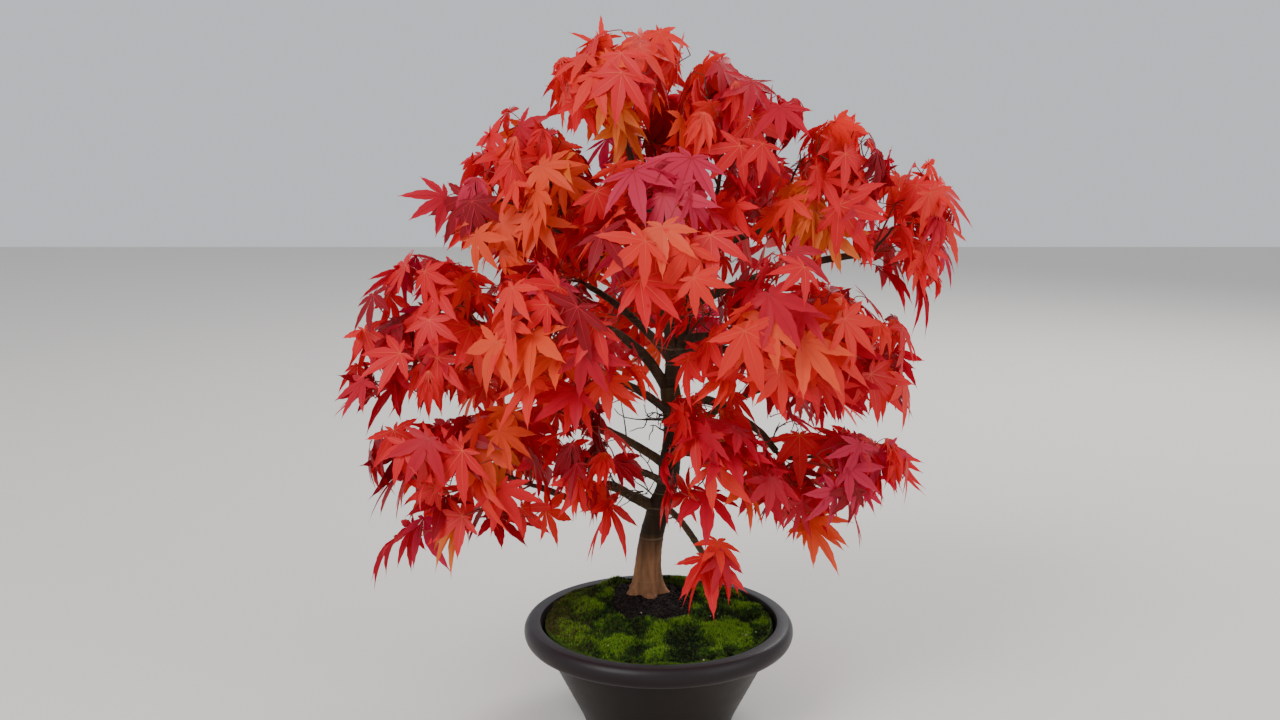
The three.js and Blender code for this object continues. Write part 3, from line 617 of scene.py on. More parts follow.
class SoftNoise:
    """Smooth noise between -1 and 1 over a plane, from a seeded lattice."""

    def __init__(self, seed, size=64):
        self.values = np.random.default_rng(seed).uniform(-1, 1, (size, size))
        self.size = size

    def __call__(self, x, y):
        column = np.floor(x).astype(int)
        row = np.floor(y).astype(int)
        u = eased(x - column)
        v = eased(y - row)

        def between(at):
            first, second = (self.values[at % self.size, (column + k) % self.size] for k in (0, 1))
            return first * (1 - u) + second * u

        return between(row) * (1 - v) + between(row + 1) * v


# How far along the first axis a line may point for its rings to start from that axis.
STEEPEST = 0.8


def tube(line, radii, sides, relief=None, first_axis=None):
    """A closed tube: rings that don't twist along its line, and a point at each end.

    The relief gives a factor for each point of a ring.
    """
    line = np.asarray(line)
    steps = np.gradient(line, axis=0)
    axes = steps / np.linalg.norm(steps, axis=1)[:, None]
    if first_axis is not None:
        axes[0] = first_axis
    side = np.eye(3)[0 if abs(axes[0][0]) <= STEEPEST else 1]
    angles = round_angles(sides)
    rings = []
    for i, axis in enumerate(axes):
        side = unit(side - axis * (side @ axis))
        across = np.cross(axis, side)
        girth = radii[i] * (np.ones(sides) if relief is None else relief(i, angles))
        round_it = np.outer(np.cos(angles), side) + np.outer(np.sin(angles), across)
        rings.append(line[i] + round_it * girth[:, None])
    points = np.vstack([*rings, line[0], line[-1]])
    start = len(line) * sides
    last = start - sides
    faces = grid_faces(len(line), sides, True)
    faces += [(start, (k + 1) % sides, k) for k in range(sides)]
    faces += [(start + 1, last + k, last + (k + 1) % sides) for k in range(sides)]
    return points, faces


# Materials: one Principled surface each, with noise for colour, roughness and relief.
def linear(red, green, blue):
    """A colour as seen on a screen, turned into the linear values that the shader takes."""
    parts = [part / 255 for part in (red, green, blue)]
    return (*(part / 12.92 if part <= 0.04045 else ((part + 0.055) / 1.055) ** 2.4
              for part in parts), 1.0)


def grey(value):
    return (value, value, value, 1)


class Surface:
    """A material with its node tree, and short ways to add nodes that are already joined."""

    def __init__(self, name, roughness=0.6, specular=0.5):
        self.material = bpy.data.materials.new(name)
        self.material.use_nodes = True
        self.tree = self.material.node_tree
        self.shader = self.tree.nodes["Principled BSDF"]
        self.feed(self.shader, {"Roughness": roughness, "Specular IOR Level": specular})
        self.place = self.add("ShaderNodeTexCoord", {}).outputs["Object"]

    def feed(self, node, inputs):
        """Gives each input a plain value, or joins it to what another node puts out."""
        for key, source in inputs.items():
            if isinstance(source, bpy.types.NodeSocket):
                self.tree.links.new(source, node.inputs[key])
            else:
                node.inputs[key].default_value = source

    def add(self, kind, inputs, **settings):
        node = self.tree.nodes.new(kind)
        for key, value in settings.items():
            setattr(node, key, value)
        self.feed(node, inputs)
        return node

    def noise(self, scale, detail=4.0, stretch=(1, 1, 1), rough=0.55):
        mapping = self.add("ShaderNodeMapping", {"Vector": self.place, "Scale": stretch})
        node = self.add("ShaderNodeTexNoise", {
            "Vector": mapping.outputs["Vector"], "Scale": scale, "Detail": detail, "Roughness": rough})
        return node.outputs["Fac"]

    def ramp(self, factor, stops):
        node = self.add("ShaderNodeValToRGB", {"Fac": factor})
        marks = node.color_ramp.elements
        while len(marks) < len(stops):
            marks.new(0.5)
        for mark, (position, colour) in zip(marks, stops):
            mark.position = position
            mark.color = colour
        return node.outputs["Color"]

    def blend(self, factor, first, second, way="MIX"):
        node = self.add("ShaderNodeMix", {}, data_type="RGBA", blend_type=way)
        self.feed(node, {0: factor, 6: first, 7: second})
        return node.outputs[2]

    def mapped(self, value, limits):
        return self.add("ShaderNodeMapRange", {"Value": value, **limits}).outputs["Result"]

    def height(self, low, high):
        """0 at the lower height and 1 at the upper one, in metres."""
        parts = self.add("ShaderNodeSeparateXYZ", {"Vector": self.place})
        return self.mapped(parts.outputs["Z"], {"From Min": low, "From Max": high})

    def coloured(self, colour):
        self.feed(self.shader, {"Base Color": colour})
        return self

    def roughened(self, factor, low, high):
        rough = self.mapped(factor, {"To Min": low, "To Max": high})
        self.feed(self.shader, {"Roughness": rough})
        return self

    def raised(self, factor, distance):
        node = self.add("ShaderNodeBump", {"Height": factor, "Distance": distance, "Strength": 1.0})
        self.feed(self.shader, {"Normal": node.outputs["Normal"]})
        return self


def pot_material():
    """Dark brown plastic, worn and dusty in patches, with a lighter bluish grey lip that is partly
    limescale and partly a painted sky reflection.
    """
    look = Surface("pot_plastic", specular=0.22)
    cloud = look.noise(14, 5)
    dust = look.noise(60, 6, rough=0.7)
    base = look.ramp(cloud, [(0.3, linear(17, 9, 6)), (0.7, linear(29, 17, 12))])
    # Painted reflection: toward its top the lip turns a lighter bluish grey, partly limescale and
    # partly a stand-in for the sky's reflection.
    lip = look.blend(look.height(0.068, 0.088), base, linear(36, 29, 31))
    dusty = look.ramp(dust, [(0.6, grey(0)), (0.85, grey(0.22))])
    look.coloured(look.blend(dusty, lip, linear(84, 73, 67)))
    return look.roughened(dust, 0.28, 0.5).raised(look.noise(900, 3), 0.00008).material


def soil_material():
    look = Surface("soil_humus", 0.95, 0.2)
    grain = look.noise(420, 6, rough=0.7)
    look.coloured(look.ramp(grain, [
        (0.3, linear(8, 5, 4)), (0.55, linear(20, 14, 11)), (0.75, linear(38, 28, 21))]))
    return look.raised(grain, 0.0012).material


def moss_material():
    look = Surface("moss_cushion", 0.95, 0.15)
    patch = look.noise(28, 4)
    fine = look.noise(520, 5, rough=0.7)
    broad = look.ramp(patch, [
        (0.3, linear(18, 30, 8)), (0.5, linear(40, 66, 14)), (0.7, linear(78, 106, 26))])
    close = look.ramp(fine, [(0.3, linear(12, 20, 6)), (0.7, linear(90, 118, 34))])
    return look.coloured(look.blend(0.6, broad, close)).raised(fine, 0.0014).material


def bark_material(name, foot, middle, top, low, high):
    """Bark in three colours by height, with dark streaks along it and pale rings round it."""
    look = Surface(name, 0.8, 0.3)
    up = look.height(low, high)
    base = look.ramp(up, [(0, foot), (0.16, foot), (0.3, middle), (0.75, middle), (1, top)])
    streaks = look.noise(160, 6, (1, 1, 0.12), 0.65)
    rings = look.noise(70, 5, (0.12, 0.12, 4), 0.7)
    dark = look.ramp(streaks, [(0.35, grey(0.3)), (0.65, grey(1))])
    streaked = look.blend(0.8, base, dark, "MULTIPLY")
    pale = look.ramp(rings, [(0.6, grey(0)), (0.68, grey(0.5))])
    look.coloured(look.blend(pale, streaked, linear(150, 132, 100)))
    return look.raised(look.blend(0.5, streaks, rings), 0.0009).material


def leaf_material(name, colour, glow=0.35):
    """A leaf lets some light through, in its own colour."""
    look = Surface(name, 0.5, 0.26).coloured(colour)
    through = look.add("ShaderNodeBsdfTranslucent", {"Color": colour})
    mixed = look.add("ShaderNodeMixShader", {
        "Fac": glow, 1: look.shader.outputs["BSDF"], 2: through.outputs["BSDF"]})
    look.feed(look.tree.nodes["Material Output"], {"Surface": mixed.outputs["Shader"]})
    return look.material


def plain_material(name, colour, roughness=0.8):
    return Surface(name, roughness, 0.3).coloured(colour).material


# Pot: its outline turned about the axis, with the foot raised in arches between the feet.
POT_MESH = Values(
    sides=240, arch_powers=(4, 0.6), bevel=0.8, wall_ease=(0.4, 1.2), wall_rows=8, neck_ease=1,
    neck_drop=0.6, lip_turns=(-1.1, 1.35), lip_rows=18, sharp_angle=40,
)
# The lip's inner edge: steps outwards from the opening and down from the top.
MOUTH = [(4.5, 0.5), (2.2, 0.1), (0.8, 0.5), (0, 2), (-0.6, 4), (-3, 10)]


def arch_height(angle):
    """How high the foot's edge stands above the ground at this bearing."""
    height = 0.0
    steep, blunt = POT_MESH.arch_powers
    for bearing, half_width, rise in FOOT_ARCHES:
        turn = angle - math.radians(bearing)
        across = abs(POT.base_radius * math.sin(turn)) / half_width
        if math.cos(turn) > 0 and across < 1:
            height = max(height, rise * (1 - across ** steep) ** blunt)
    return height


def pot_profile(arch):
    """Outline from the foot's edge over the lip and down inside, as radius and height."""
    base, neck, disc = POT.base_radius, POT.neck_radius, POT.disc_radius
    low = POT.lip_top - POT.lip_height
    slope = (neck - base - POT.foot_ease) / (low - POT.foot_rise)
    rise = max(arch, POT.foot_rise)
    foot = base + POT.foot_ease + slope * (rise - POT.foot_rise)
    edge = base + (foot - base) * min(arch / POT.foot_rise, 1)
    bevel = POT_MESH.bevel
    out, up = POT_MESH.wall_ease
    outline = [(0, 0), (disc, 0), (disc, arch), (edge - bevel, arch), (edge, arch + bevel)]
    outline += [(foot + out + share * (neck - foot - out), rise + up + share * (low - rise - up))
                for share in np.linspace(0, 1, POT_MESH.wall_rows)]
    outline.append((neck + POT_MESH.neck_ease, low - POT_MESH.neck_drop))
    outline.append((POT.lip_radius - POT.lip_under - POT_MESH.neck_ease, low))
    half = POT.lip_height / 2
    outline += [(POT.lip_radius - POT.lip_round + POT.lip_round * math.cos(turn),
                 POT.lip_top - half + half * math.sin(turn))
                for turn in np.linspace(*POT_MESH.lip_turns, POT_MESH.lip_rows)]
    return outline + [(POT.opening_radius + out, POT.lip_top - down) for out, down in MOUTH]


def make_pot():
    angles = round_angles(POT_MESH.sides)
    outlines = np.array([pot_profile(arch_height(angle)) for angle in angles])
    radii, heights = outlines.transpose(2, 1, 0)
    points = np.stack([radii * np.cos(angles), radii * np.sin(angles), heights], axis=-1)
    faces = grid_faces(*radii.shape, True)
    piece = mesh_object("pot_shell", points.reshape(-1, 3), faces, pot_material(), ["pot"])
    piece.data.set_sharp_from_angle(angle=math.radians(POT_MESH.sharp_angle))


# Mound: soil and moss, on rays from the trunk's foot, by the fraction of the way to the wall.
SOIL = Values(rays=300, steps=90, start=-0.98)
MOSS = Values(
    thickness=5, edge_share=0.45, bare_reach=0.17, bare_front=0.2, edge=0.985,
    ragged=[(2, 0.05), (5, 0.03), (9, 0.022), (17, 0.012)], rounded=0.12, edge_bumps=0.4, rays=420,
    steps=110, skirt=-0.8,
)


def wall_radius(z):
    low = POT.base_radius - POT.wall
    share = (z - POT.floor) / (POT.lip_top - POT.rim_ease - POT.floor)
    return low + share * (POT.opening_radius - low) - WALL_GAP


def mound_points(angles, shares, lift):
    """Points on the mound. A fraction below 0 lies inside the flat pad round the trunk."""
    angles, shares, lift = np.broadcast_arrays(angles, shares, lift)
    x = np.cos(angles)
    y = np.sin(angles)
    along = FOOT[0] * x + FOOT[1] * y
    off = FOOT[0] ** 2 + FOOT[1] ** 2 - wall_radius(MOUND.rim) ** 2
    to_wall = np.sqrt(along ** 2 - off) - along
    pad = MOUND.pad_radius
    distance = np.where(shares < 0, pad * (1 + shares), pad + shares * (to_wall - pad))
    fall = eased(np.clip(shares, 0, 1))
    height = MOUND.top + fall * (MOUND.rim - MOUND.top) + lift
    return np.stack([FOOT[0] + x * distance, FOOT[1] + y * distance, height], axis=-1)


def moss_inner(angles):
    """The fraction at which the moss begins: the bare patch is wider in front of the trunk."""
    front = np.maximum(0, -np.sin(angles))
    ragged = sum(depth * np.sin(turns * angles + turns * turns) for turns, depth in MOSS.ragged)
    return MOSS.bare_reach + MOSS.bare_front * front ** 3 + ragged


BUMPS = [(SoftNoise(11), 21.0, 3.6), (SoftNoise(12), 8.5, 1.7), (SoftNoise(13), 2.6, 0.5)]
CRUMBLE = [(SoftNoise(21), 9.0, 0.8), (SoftNoise(22), 2.6, 0.5), (SoftNoise(23), 1.1, 0.25)]


def layered(layers, points):
    """The sum of several noises, each with its cell size and height."""
    return sum(height * noise(points[..., 0] / cell, points[..., 1] / cell)
               for noise, cell, height in layers)


def moss_surface(angles, shares):
    """The top of the moss, thinning out and smoother towards its two edges."""
    inner = moss_inner(angles)
    place = (shares - inner) / (MOSS.edge - inner)
    rounding = np.clip(np.minimum(place, 1 - place) / MOSS.rounded, 0, 1) ** 0.5
    thin, calm = (low + (1 - low) * rounding for low in (MOSS.edge_share, MOSS.edge_bumps))
    bumps = layered(BUMPS, mound_points(angles, shares, 0))
    return mound_points(angles, shares, SEAT_GAP + MOSS.thickness * thin + bumps * calm)


def make_soil():
    rays, steps = SOIL.rays, SOIL.steps
    shares = np.linspace(SOIL.start, 1, steps)[:, None]
    points = mound_points(round_angles(rays)[None], shares, 0)
    points[..., 2] += layered(CRUMBLE, points)
    faces = grid_faces(steps, rays, True)
    faces += [(steps * rays, k, (k + 1) % rays) for k in range(rays)]
    mesh_object("soil_bed", np.vstack([points.reshape(-1, 3), FOOT]), faces, soil_material(),
                ["soil"])


def make_moss():
    rays, steps = MOSS.rays, MOSS.steps
    angles = np.broadcast_to(round_angles(rays), (steps, rays))
    inner = moss_inner(angles)
    shares = inner + (MOSS.edge - inner) * np.linspace(0, 1, steps)[:, None]
    skirts = mound_points(angles[:2], shares[[0, -1]], MOSS.skirt)
    points = np.vstack([skirts[:1], moss_surface(angles, shares), skirts[1:]]).reshape(-1, 3)
    mesh_object("moss_cushion", points, grid_faces(steps + 2, rays, True), moss_material(),
                ["moss"])


# Loose things lie beyond this share of the pad, and within this fraction of the way to the wall.
NEAREST = 0.7
FARTHEST = 0.99


def mound_places(count, seed, wanted):
    """Bearings and fractions of seeded places on the mound that are wanted there."""
    random = np.random.default_rng(seed)
    rim = wall_radius(MOUND.rim)
    pad = MOUND.pad_radius
    found = []
    while len(found) < count:
        offset = random.uniform(-rim, rim, 2) - FOOT[:2]
        angle = math.atan2(offset[1], offset[0])
        distance = math.hypot(*offset)
        to_wall = math.hypot(*(mound_points(np.array(angle), np.array(1.0), 0)[:2] - FOOT[:2]))
        share = (distance - pad) / (to_wall - pad)
        if distance > pad * NEAREST and share < FARTHEST and wanted(angle, share):
            found.append((angle, share))
    return np.array(found)


# Moss tufts: a few pointed leaves each, on the cushion's top, in patches of four greens, with painted
# light: lighter greens high on the bumps and darker ones in the hollows.
TUFTS = Values(
    count=15000, leaves=4, length=(1.6, 3.4), width=0.9, lean=(0.25, 1.0), turn=0.4, sunk=0.5,
    margin=0.01, broad=15, close=5, close_share=0.5, height_share=0.3, level=5, tone=-0.1,
    spread=0.3, marks=(-0.35, 0.35),
)
# Olive tufts are commonest at the left of the pot.
OLIVE = Values(span=90, start=0.55, share=1.5, anywhere=0.05)
# Besides the patches, the dark and bright greens stand for painted shade in the hollows and painted
# light on the bumps' tops.
MOSS_TINTS = [
    ("moss_tufts_dark", linear(18, 32, 9)), ("moss_tufts_mid", linear(46, 76, 15)),
    ("moss_tufts_bright", linear(104, 140, 34)), ("moss_tufts_olive", linear(84, 76, 32)),
]


def tuft_points(root, random):
    """The corners of one tuft's leaves, three to a leaf."""
    turn = random.uniform(0, 2 * math.pi)
    sunk = UP * TUFTS.sunk
    points = []
    for k in range(TUFTS.leaves):
        angle = turn + 2 * math.pi * k / TUFTS.leaves
        angle += random.uniform(-TUFTS.turn, TUFTS.turn)
        lean = random.uniform(*TUFTS.lean)
        length = random.uniform(*TUFTS.length)
        out = np.array([math.cos(angle), math.sin(angle), 0])
        side = np.array([-out[1], out[0], 0]) * TUFTS.width / 2
        tip = root + length * (out * math.sin(lean) + UP * math.cos(lean))
        points += [root - side - sunk, root + side - sunk, tip]
    return points


def tuft_tones_and_painted_light(places, roots):
    """How bright the moss is at each place: in patches, and with painted light, brighter on its
    cushions' tops and darker in the hollows.
    """
    x, y, z = roots.T
    tones = SoftNoise(33)(x / TUFTS.broad, y / TUFTS.broad)
    tones += TUFTS.close_share * SoftNoise(34)(x / TUFTS.close, y / TUFTS.close)
    # Painted light: the higher a tuft stands above this level, the lighter its green; lower tufts turn
    # darker.
    levels = mound_points(places[:, 0], places[:, 1], TUFTS.level)[:, 2]
    return tones + TUFTS.height_share * (z - levels) + TUFTS.tone


def make_tufts():
    def on_moss(angle, share):
        inner = moss_inner(np.array(angle))
        return inner + TUFTS.margin < share < MOSS.edge - TUFTS.margin

    random = np.random.default_rng(31)
    places = mound_places(TUFTS.count, 32, on_moss)
    roots = moss_surface(places[:, 0], places[:, 1])
    olive = np.clip(-roots[:, 0] / OLIVE.span - OLIVE.start, 0, 1) * OLIVE.share
    faces = [(3 * k, 3 * k + 1, 3 * k + 2) for k in range(TUFTS.leaves)]
    groups = [Gathered() for _ in MOSS_TINTS]
    for root, tone, share in zip(roots, tuft_tones_and_painted_light(places, roots), olive):
        points = tuft_points(root, random)
        tint = int(np.searchsorted(TUFTS.marks, tone + random.normal(0, TUFTS.spread), "right"))
        if random.uniform() < share or random.uniform() < OLIVE.anywhere:
            tint = -1
        groups[tint].add(points, faces)
    for (name, colour), group in zip(MOSS_TINTS, groups):
        group.piece(name, plain_material(name, colour, 0.9), [], "moss", smooth=False)


# Crumbs: small rough grains on the bare soil, and a few pale ones.
CRUMBS = Values(
    count=1100, size=(0.5, 1.9), pale=34, pale_size=(0.5, 1.2), stretch=(0.6, 1.3),
    rough=(0.75, 1.2), lift=0.2, longest_side=1.1, pale_from=0.05,
)


def rough_grain():
    """Points and faces of a twenty-sided solid."""
    golden = (1 + math.sqrt(5)) / 2
    corners = []
    for a in (-1, 1):
        for b in (-golden, golden):
            corners += [(0, a, b), (a, b, 0), (b, 0, a)]
    corners = np.array(corners) / math.hypot(1, golden)
    faces = []
    for i, j, k in itertools.combinations(range(len(corners)), 3):
        trio = corners[[i, j, k]]
        if np.linalg.norm(trio - np.roll(trio, 1, axis=0), axis=1).max() < CRUMBS.longest_side:
            outward = np.cross(trio[1] - trio[0], trio[2] - trio[0]) @ trio.mean(axis=0) > 0
            faces.append((i, j, k) if outward else (i, k, j))
    return corners, faces


def ground_points(places):
    """Points on top of what lies at these places: moss, or bare soil inside its inner edge."""
    angles, shares = places.T
    soil = mound_points(angles, shares, CRUMBS.lift)
    soil[:, 2] += layered(CRUMBLE, soil)
    mossy = shares > moss_inner(angles)
    return np.where(mossy[:, None], moss_surface(angles, shares), soil)


def scatter_grains(places, sizes, name, colour, seed):
    random = np.random.default_rng(seed)
    corners, faces = rough_grain()
    group = Gathered()
    for place in ground_points(places):
        size = random.uniform(*sizes)
        stretch = random.uniform(*CRUMBS.stretch, 3) * size
        bumps = random.uniform(*CRUMBS.rough, (len(corners), 1))
        group.add(place + corners * bumps * stretch, faces)
    group.piece(name, plain_material(name, colour, 0.9), [], "soil", smooth=False)


def make_crumbs():
    def on_soil(angle, share):
        return share < moss_inner(np.array(angle))

    def off_the_pad(angle, share):
        return share > CRUMBS.pale_from

    bare = mound_places(CRUMBS.count, 41, on_soil)
    half = len(bare) // 2
    scatter_grains(bare[:half], CRUMBS.size, "soil_crumbs_dark", linear(15, 10, 8), 42)
    scatter_grains(bare[half:], CRUMBS.size, "soil_crumbs_brown", linear(34, 24, 17), 43)
    pale = mound_places(CRUMBS.pale, 44, off_the_pad)
    scatter_grains(pale, CRUMBS.pale_size, "soil_grit_pale", linear(176, 164, 140), 45)


# Limbs: the solids' centre lines and tapers, with rings, fissures and collars in the bark.
BARK = Values(
    trunk_sides=72, bough_sides=14, trunk_step=1.1, bough_step=2.2, sunk=3.0, rough_stations=40,
    fewest_steps=8, fissure=0.4, ring=0.28, ring_width=0.8, ring_gaps=(7, 15), collar=1.3,
    collar_reach=8, knot=1.6, knot_reach=10, knot_rise=3, calm=0.35, calm_height=45,
)
# Noise round the trunk: strength, cells round it and length of a cell along it.
TRUNK_NOISE = [(1, 26, 16), (0.5, 52, 5)]
BOUGH_NOISE = Values(strength=0.3, cells=8, length=9)


def ring_lifts(along, random):
    """The relief of growth rings at seeded places along a limb."""
    lifts = np.zeros(len(along))
    place = random.uniform(*BARK.ring_gaps)
    while place < along[-1]:
        lifts += BARK.ring * np.exp(-((along - place) / BARK.ring_width) ** 2)
        place += random.uniform(*BARK.ring_gaps)
    return lifts


def distances_along(line):
    steps = np.linalg.norm(np.diff(line, axis=0), axis=1)
    return np.concatenate([[0], np.cumsum(steps)])


def stations_of(curve, step):
    """Points of a curve about one step apart."""
    rough = np.array([curve(share) for share in np.linspace(0, 1, BARK.rough_stations)])
    count = max(BARK.fewest_steps, round(distances_along(rough)[-1] / step))
    return np.array([curve(i / count) for i in range(count + 1)])


def make_trunk():
    random = np.random.default_rng(51)
    line = stations_of(LIMBS["trunk"].curve, BARK.trunk_step)
    line = np.vstack([line[0] - UP * BARK.sunk, line])
    heights = np.maximum(line[:, 2] - MOUND.top, 0)
    radii = trunk_radius(heights)
    rings = ring_lifts(distances_along(line), random)
    noises = [(strength, cells, length, SoftNoise(52 + k, cells))
              for k, (strength, cells, length) in enumerate(TRUNK_NOISE)]
    knots = [LIMBS[own.name].line[:2] for own in BOUGHS
             if own.parent == "trunk" and own.at < 1]

    def relief(i, angles):
        z = line[i][2]
        fade = math.exp(-heights[i] / TRUNK.flare_height)
        roots = np.cos(TRUNK.root_ridges * angles + TRUNK.ridge_turn)
        rough = BARK.calm + (1 - BARK.calm) * math.exp(-heights[i] / BARK.calm_height)
        lift = 0.0
        for strength, cells, length, noise in noises:
            across = angles / (2 * math.pi) * cells
            lift += strength * BARK.fissure * rough * noise(across, np.full_like(angles, z / length))
        lift += rings[i] * (1 - fade)
        for start, toward in knots:
            near = math.exp(-((z - start[2] - BARK.knot_rise) / BARK.knot_reach) ** 2)
            bearing = math.atan2(toward[1] - start[1], toward[0] - start[0])
            lift += BARK.knot * near * np.maximum(0, np.cos(angles - bearing)) ** 3
        return 1 + TRUNK.ridge_depth * fade * roots + lift / radii[i]

    points, faces = tube(line, radii, BARK.trunk_sides, relief, UP)
    bark = bark_material("trunk_bark", linear(158, 114, 78), linear(56, 43, 26), linear(90, 76, 44),
                         0.098, 0.296)
    mesh_object("trunk_bark", points, faces, bark, ["trunk"])


def make_boughs():
    random = np.random.default_rng(61)
    cells = BOUGH_NOISE.cells
    group = Gathered()
    for order, own in enumerate(BOUGHS):
        line = stations_of(LIMBS[own.name].curve, BARK.bough_step)
        along = distances_along(line)
        collar = BARK.collar if own.at < 1 else 0
        radii = bough_radius(own, np.linspace(0, 1, len(line)))
        radii = radii + collar * np.exp(-along / (BARK.collar_reach + own.radius))
        rings = ring_lifts(along, random)
        grain = SoftNoise(70 + order, cells)

        def relief(i, angles):
            lengthwise = np.full_like(angles, along[i] / BOUGH_NOISE.length)
            rough = grain(angles / (2 * math.pi) * cells, lengthwise)
            return 1 + (rings[i] + BOUGH_NOISE.strength * rough) / radii[i]

        group.add_tube(line, radii, BARK.bough_sides, relief)
    bark = bark_material("bough_bark", linear(84, 70, 46), linear(72, 58, 40), linear(84, 56, 40),
                         0.2, 0.5)
    group.piece("boughs_bark", bark, [own.name for own in BOUGHS], "bough")


# Twigs: the heaviest way on from each node is one smooth line, and the others branch out of it.
def loads_of(nodes):
    loads = [1 if node.look else 0 for node in nodes]
    for i in range(len(nodes) - 1, 0, -1):
        loads[nodes[i].parent] += loads[i]
    return loads


def twig_lines(nodes, loads):
    kids = [[] for _ in nodes]
    for i, node in enumerate(nodes[1:], 1):
        kids[node.parent].append(i)
    for some in kids:
        some.sort(key=lambda kid: (-loads[kid], kid))

    def turn_of(before, here, after):
        back = unit(nodes[here].point - nodes[before].point)
        onward = unit(nodes[after].point - nodes[here].point)
        return math.acos(np.clip(back @ onward, -1, 1))

    lines = [[0, 1]]
    for line in lines:
        while True:
            here = line[-1]
            onward = next((kid for kid in kids[here]
                           if turn_of(line[-2], here, kid) < TWIG.turn), None)
            lines += [[here, kid] for kid in kids[here] if kid != onward]
            if onward is None:
                break
            line.append(onward)
    return lines


FINE_TWIG = Values(
    radius=0.38, growth=0.38, largest=2.6, sides=6, per_span=6, wander=0.45, ease=0.8, red_below=13,
)
STALK = Values(radius=0.4, ends=(1.15, 0.85), sides=4, spans=5, sag=2.5)


def eased_way(stops, spans):
    """Points of a curve through the stops that never swings out beyond them."""
    stops = np.array(stops)
    steps = np.diff(stops, axis=0)
    lengths = np.linalg.norm(steps, axis=1)
    slopes = np.vstack([steps[:1], steps[:-1] + steps[1:], steps[-1:]])
    nearest = np.minimum(np.append(lengths, FAR), np.insert(lengths, 0, FAR))
    slopes *= (FINE_TWIG.ease * nearest / np.linalg.norm(slopes, axis=1))[:, None]
    t = np.linspace(0, 1, spans, endpoint=False)[None, :, None]
    start, end = stops[:-1, None], stops[1:, None]
    way = start * (2 * t ** 3 - 3 * t ** 2 + 1) + end * (3 * t ** 2 - 2 * t ** 3)
    way = way + slopes[:-1, None] * (t ** 3 - 2 * t ** 2 + t) + slopes[1:, None] * (t ** 3 - t ** 2)
    return np.vstack([way.reshape(-1, 3), stops[-1]])


def add_twigs(nodes, wood, young, random):
    loads = loads_of(nodes)
    girths = np.minimum(FINE_TWIG.radius * np.maximum(loads, 1.0) ** FINE_TWIG.growth,
                        FINE_TWIG.largest)
    for line in twig_lines(nodes, loads):
        way = eased_way([nodes[i].point for i in line], FINE_TWIG.per_span)
        shares = np.linspace(0, 1, len(way))
        wander = random.normal(0, FINE_TWIG.wander, way.shape)
        wander[[0, -1]] = 0
        way += (wander + np.roll(wander, 1, axis=0)) / 2 * np.sin(math.pi * shares)[:, None]
        radii = np.interp(shares * (len(line) - 1), np.arange(len(line)), girths[[line[1], *line[1:]]])
        group = young if loads[line[1]] < FINE_TWIG.red_below else wood
        group.add_tube(way, radii, FINE_TWIG.sides)


# Bare twigs: leafless shoots on the trunk and the inner boughs, each with a few short spurs.
BARE = Values(
    count=40, length=(28, 74), radius=0.95, tip=0.35, sides=5, spans=8, spurs=3,
    spur_share=(0.25, 0.5), spur_radius=0.6, spur_turn=0.8, first_spur=3, rise=0.3, bends=3,
    bend=5.0, bend_length=50, on_trunk=(0.38, 0.98), on_bough=(0.1, 0.9),
)
BARE_HOSTS = ["trunk", "trunk", "bough_left_low", "bough_left_mid", "bough_right_low", "leader",
              "right_stem", "bough_right_mid"]


def add_shoot(group, start, heading, length, radius, random):
    """One shoot that bends at its buds. Returns its centre line."""
    shares = np.linspace(0, 1, BARE.spans + 1)
    bends = random.normal(0, BARE.bend, (BARE.bends, 3)) * length / BARE.bend_length
    way = np.array([start + heading * length * share
                    + sum(bend * math.sin(math.pi * share * (k + 1)) / (k + 2)
                          for k, bend in enumerate(bends)) for share in shares])
    group.add_tube(way, radius + (BARE.tip - radius) * shares, BARE.sides)
    return way


def add_bare_twigs(group, random):
    for k in range(BARE.count):
        limb = LIMBS[BARE_HOSTS[k % len(BARE_HOSTS)]]
        share = random.uniform(*(BARE.on_trunk if limb.name == "trunk" else BARE.on_bough))
        around = random.uniform(0, 2 * math.pi)
        heading = unit(np.array([math.cos(around), math.sin(around), BARE.rise]))
        length = random.uniform(*BARE.length)
        way = add_shoot(group, limb.curve(share), heading, length, BARE.radius, random)
        for place in random.integers(BARE.first_spur, BARE.spans, BARE.spurs):
            aside = unit(heading + random.normal(0, BARE.spur_turn, 3))
            reach = length * random.uniform(*BARE.spur_share)
            add_shoot(group, way[place], aside, reach, BARE.radius * BARE.spur_radius, random)


def add_stalk(node, stalks):
    curve = bowed(node.point, node.centre, STALK.sag)
    way = np.array([curve(share) for share in np.linspace(0, 1, STALK.spans + 1)])
    stalks.add_tube(way, np.linspace(*STALK.ends, len(way)) * STALK.radius, STALK.sides)


# Leaf blade: pointed, toothed lobes round the stalk's end, each folded along its midrib.
# The middle lobe lies along the first axis and is about one unit long.
BLADE = Values(
    rows=8, sinus=0.25, belly=0.115, tooth=0.005, tooth_along=1.2, notch=(165, 0.05),
    folded_notch=0.6, widest_start=1.4, neck=2.5, widest=0.85, point=0.35, folded_root=0.4,
    spread=(0.93, 1.05), turn=2.5, narrowed=0.42,
)
# How sharply the lobes are folded, how much the blade curls, and the bend of the lobes, as the
# mean and the spread. A folded leaf draws the open leaf's values first, then its own.
BLADE_FORMS = [
    Values(fold=(0.15, 0.45), curl=(0.08, 0.24), bend=(0.03, 0.07)),
    Values(fold=(1.0, 1.7), curl=(0.25, 0.5), bend=(0.1, 0.16)),
]
RIB = Values(widths=(0.008, 0.003), lift=0.004, fold_lift=0.011)
LOBE_SETS = np.array([
    [(-122, -80, -40, 0, 40, 80, 122), (0.36, 0.7, 0.93, 1, 0.93, 0.7, 0.36)],
    [(-132, -92, -46, 0, 46, 92, 132), (0.2, 0.58, 0.9, 1, 0.9, 0.58, 0.2)],
])


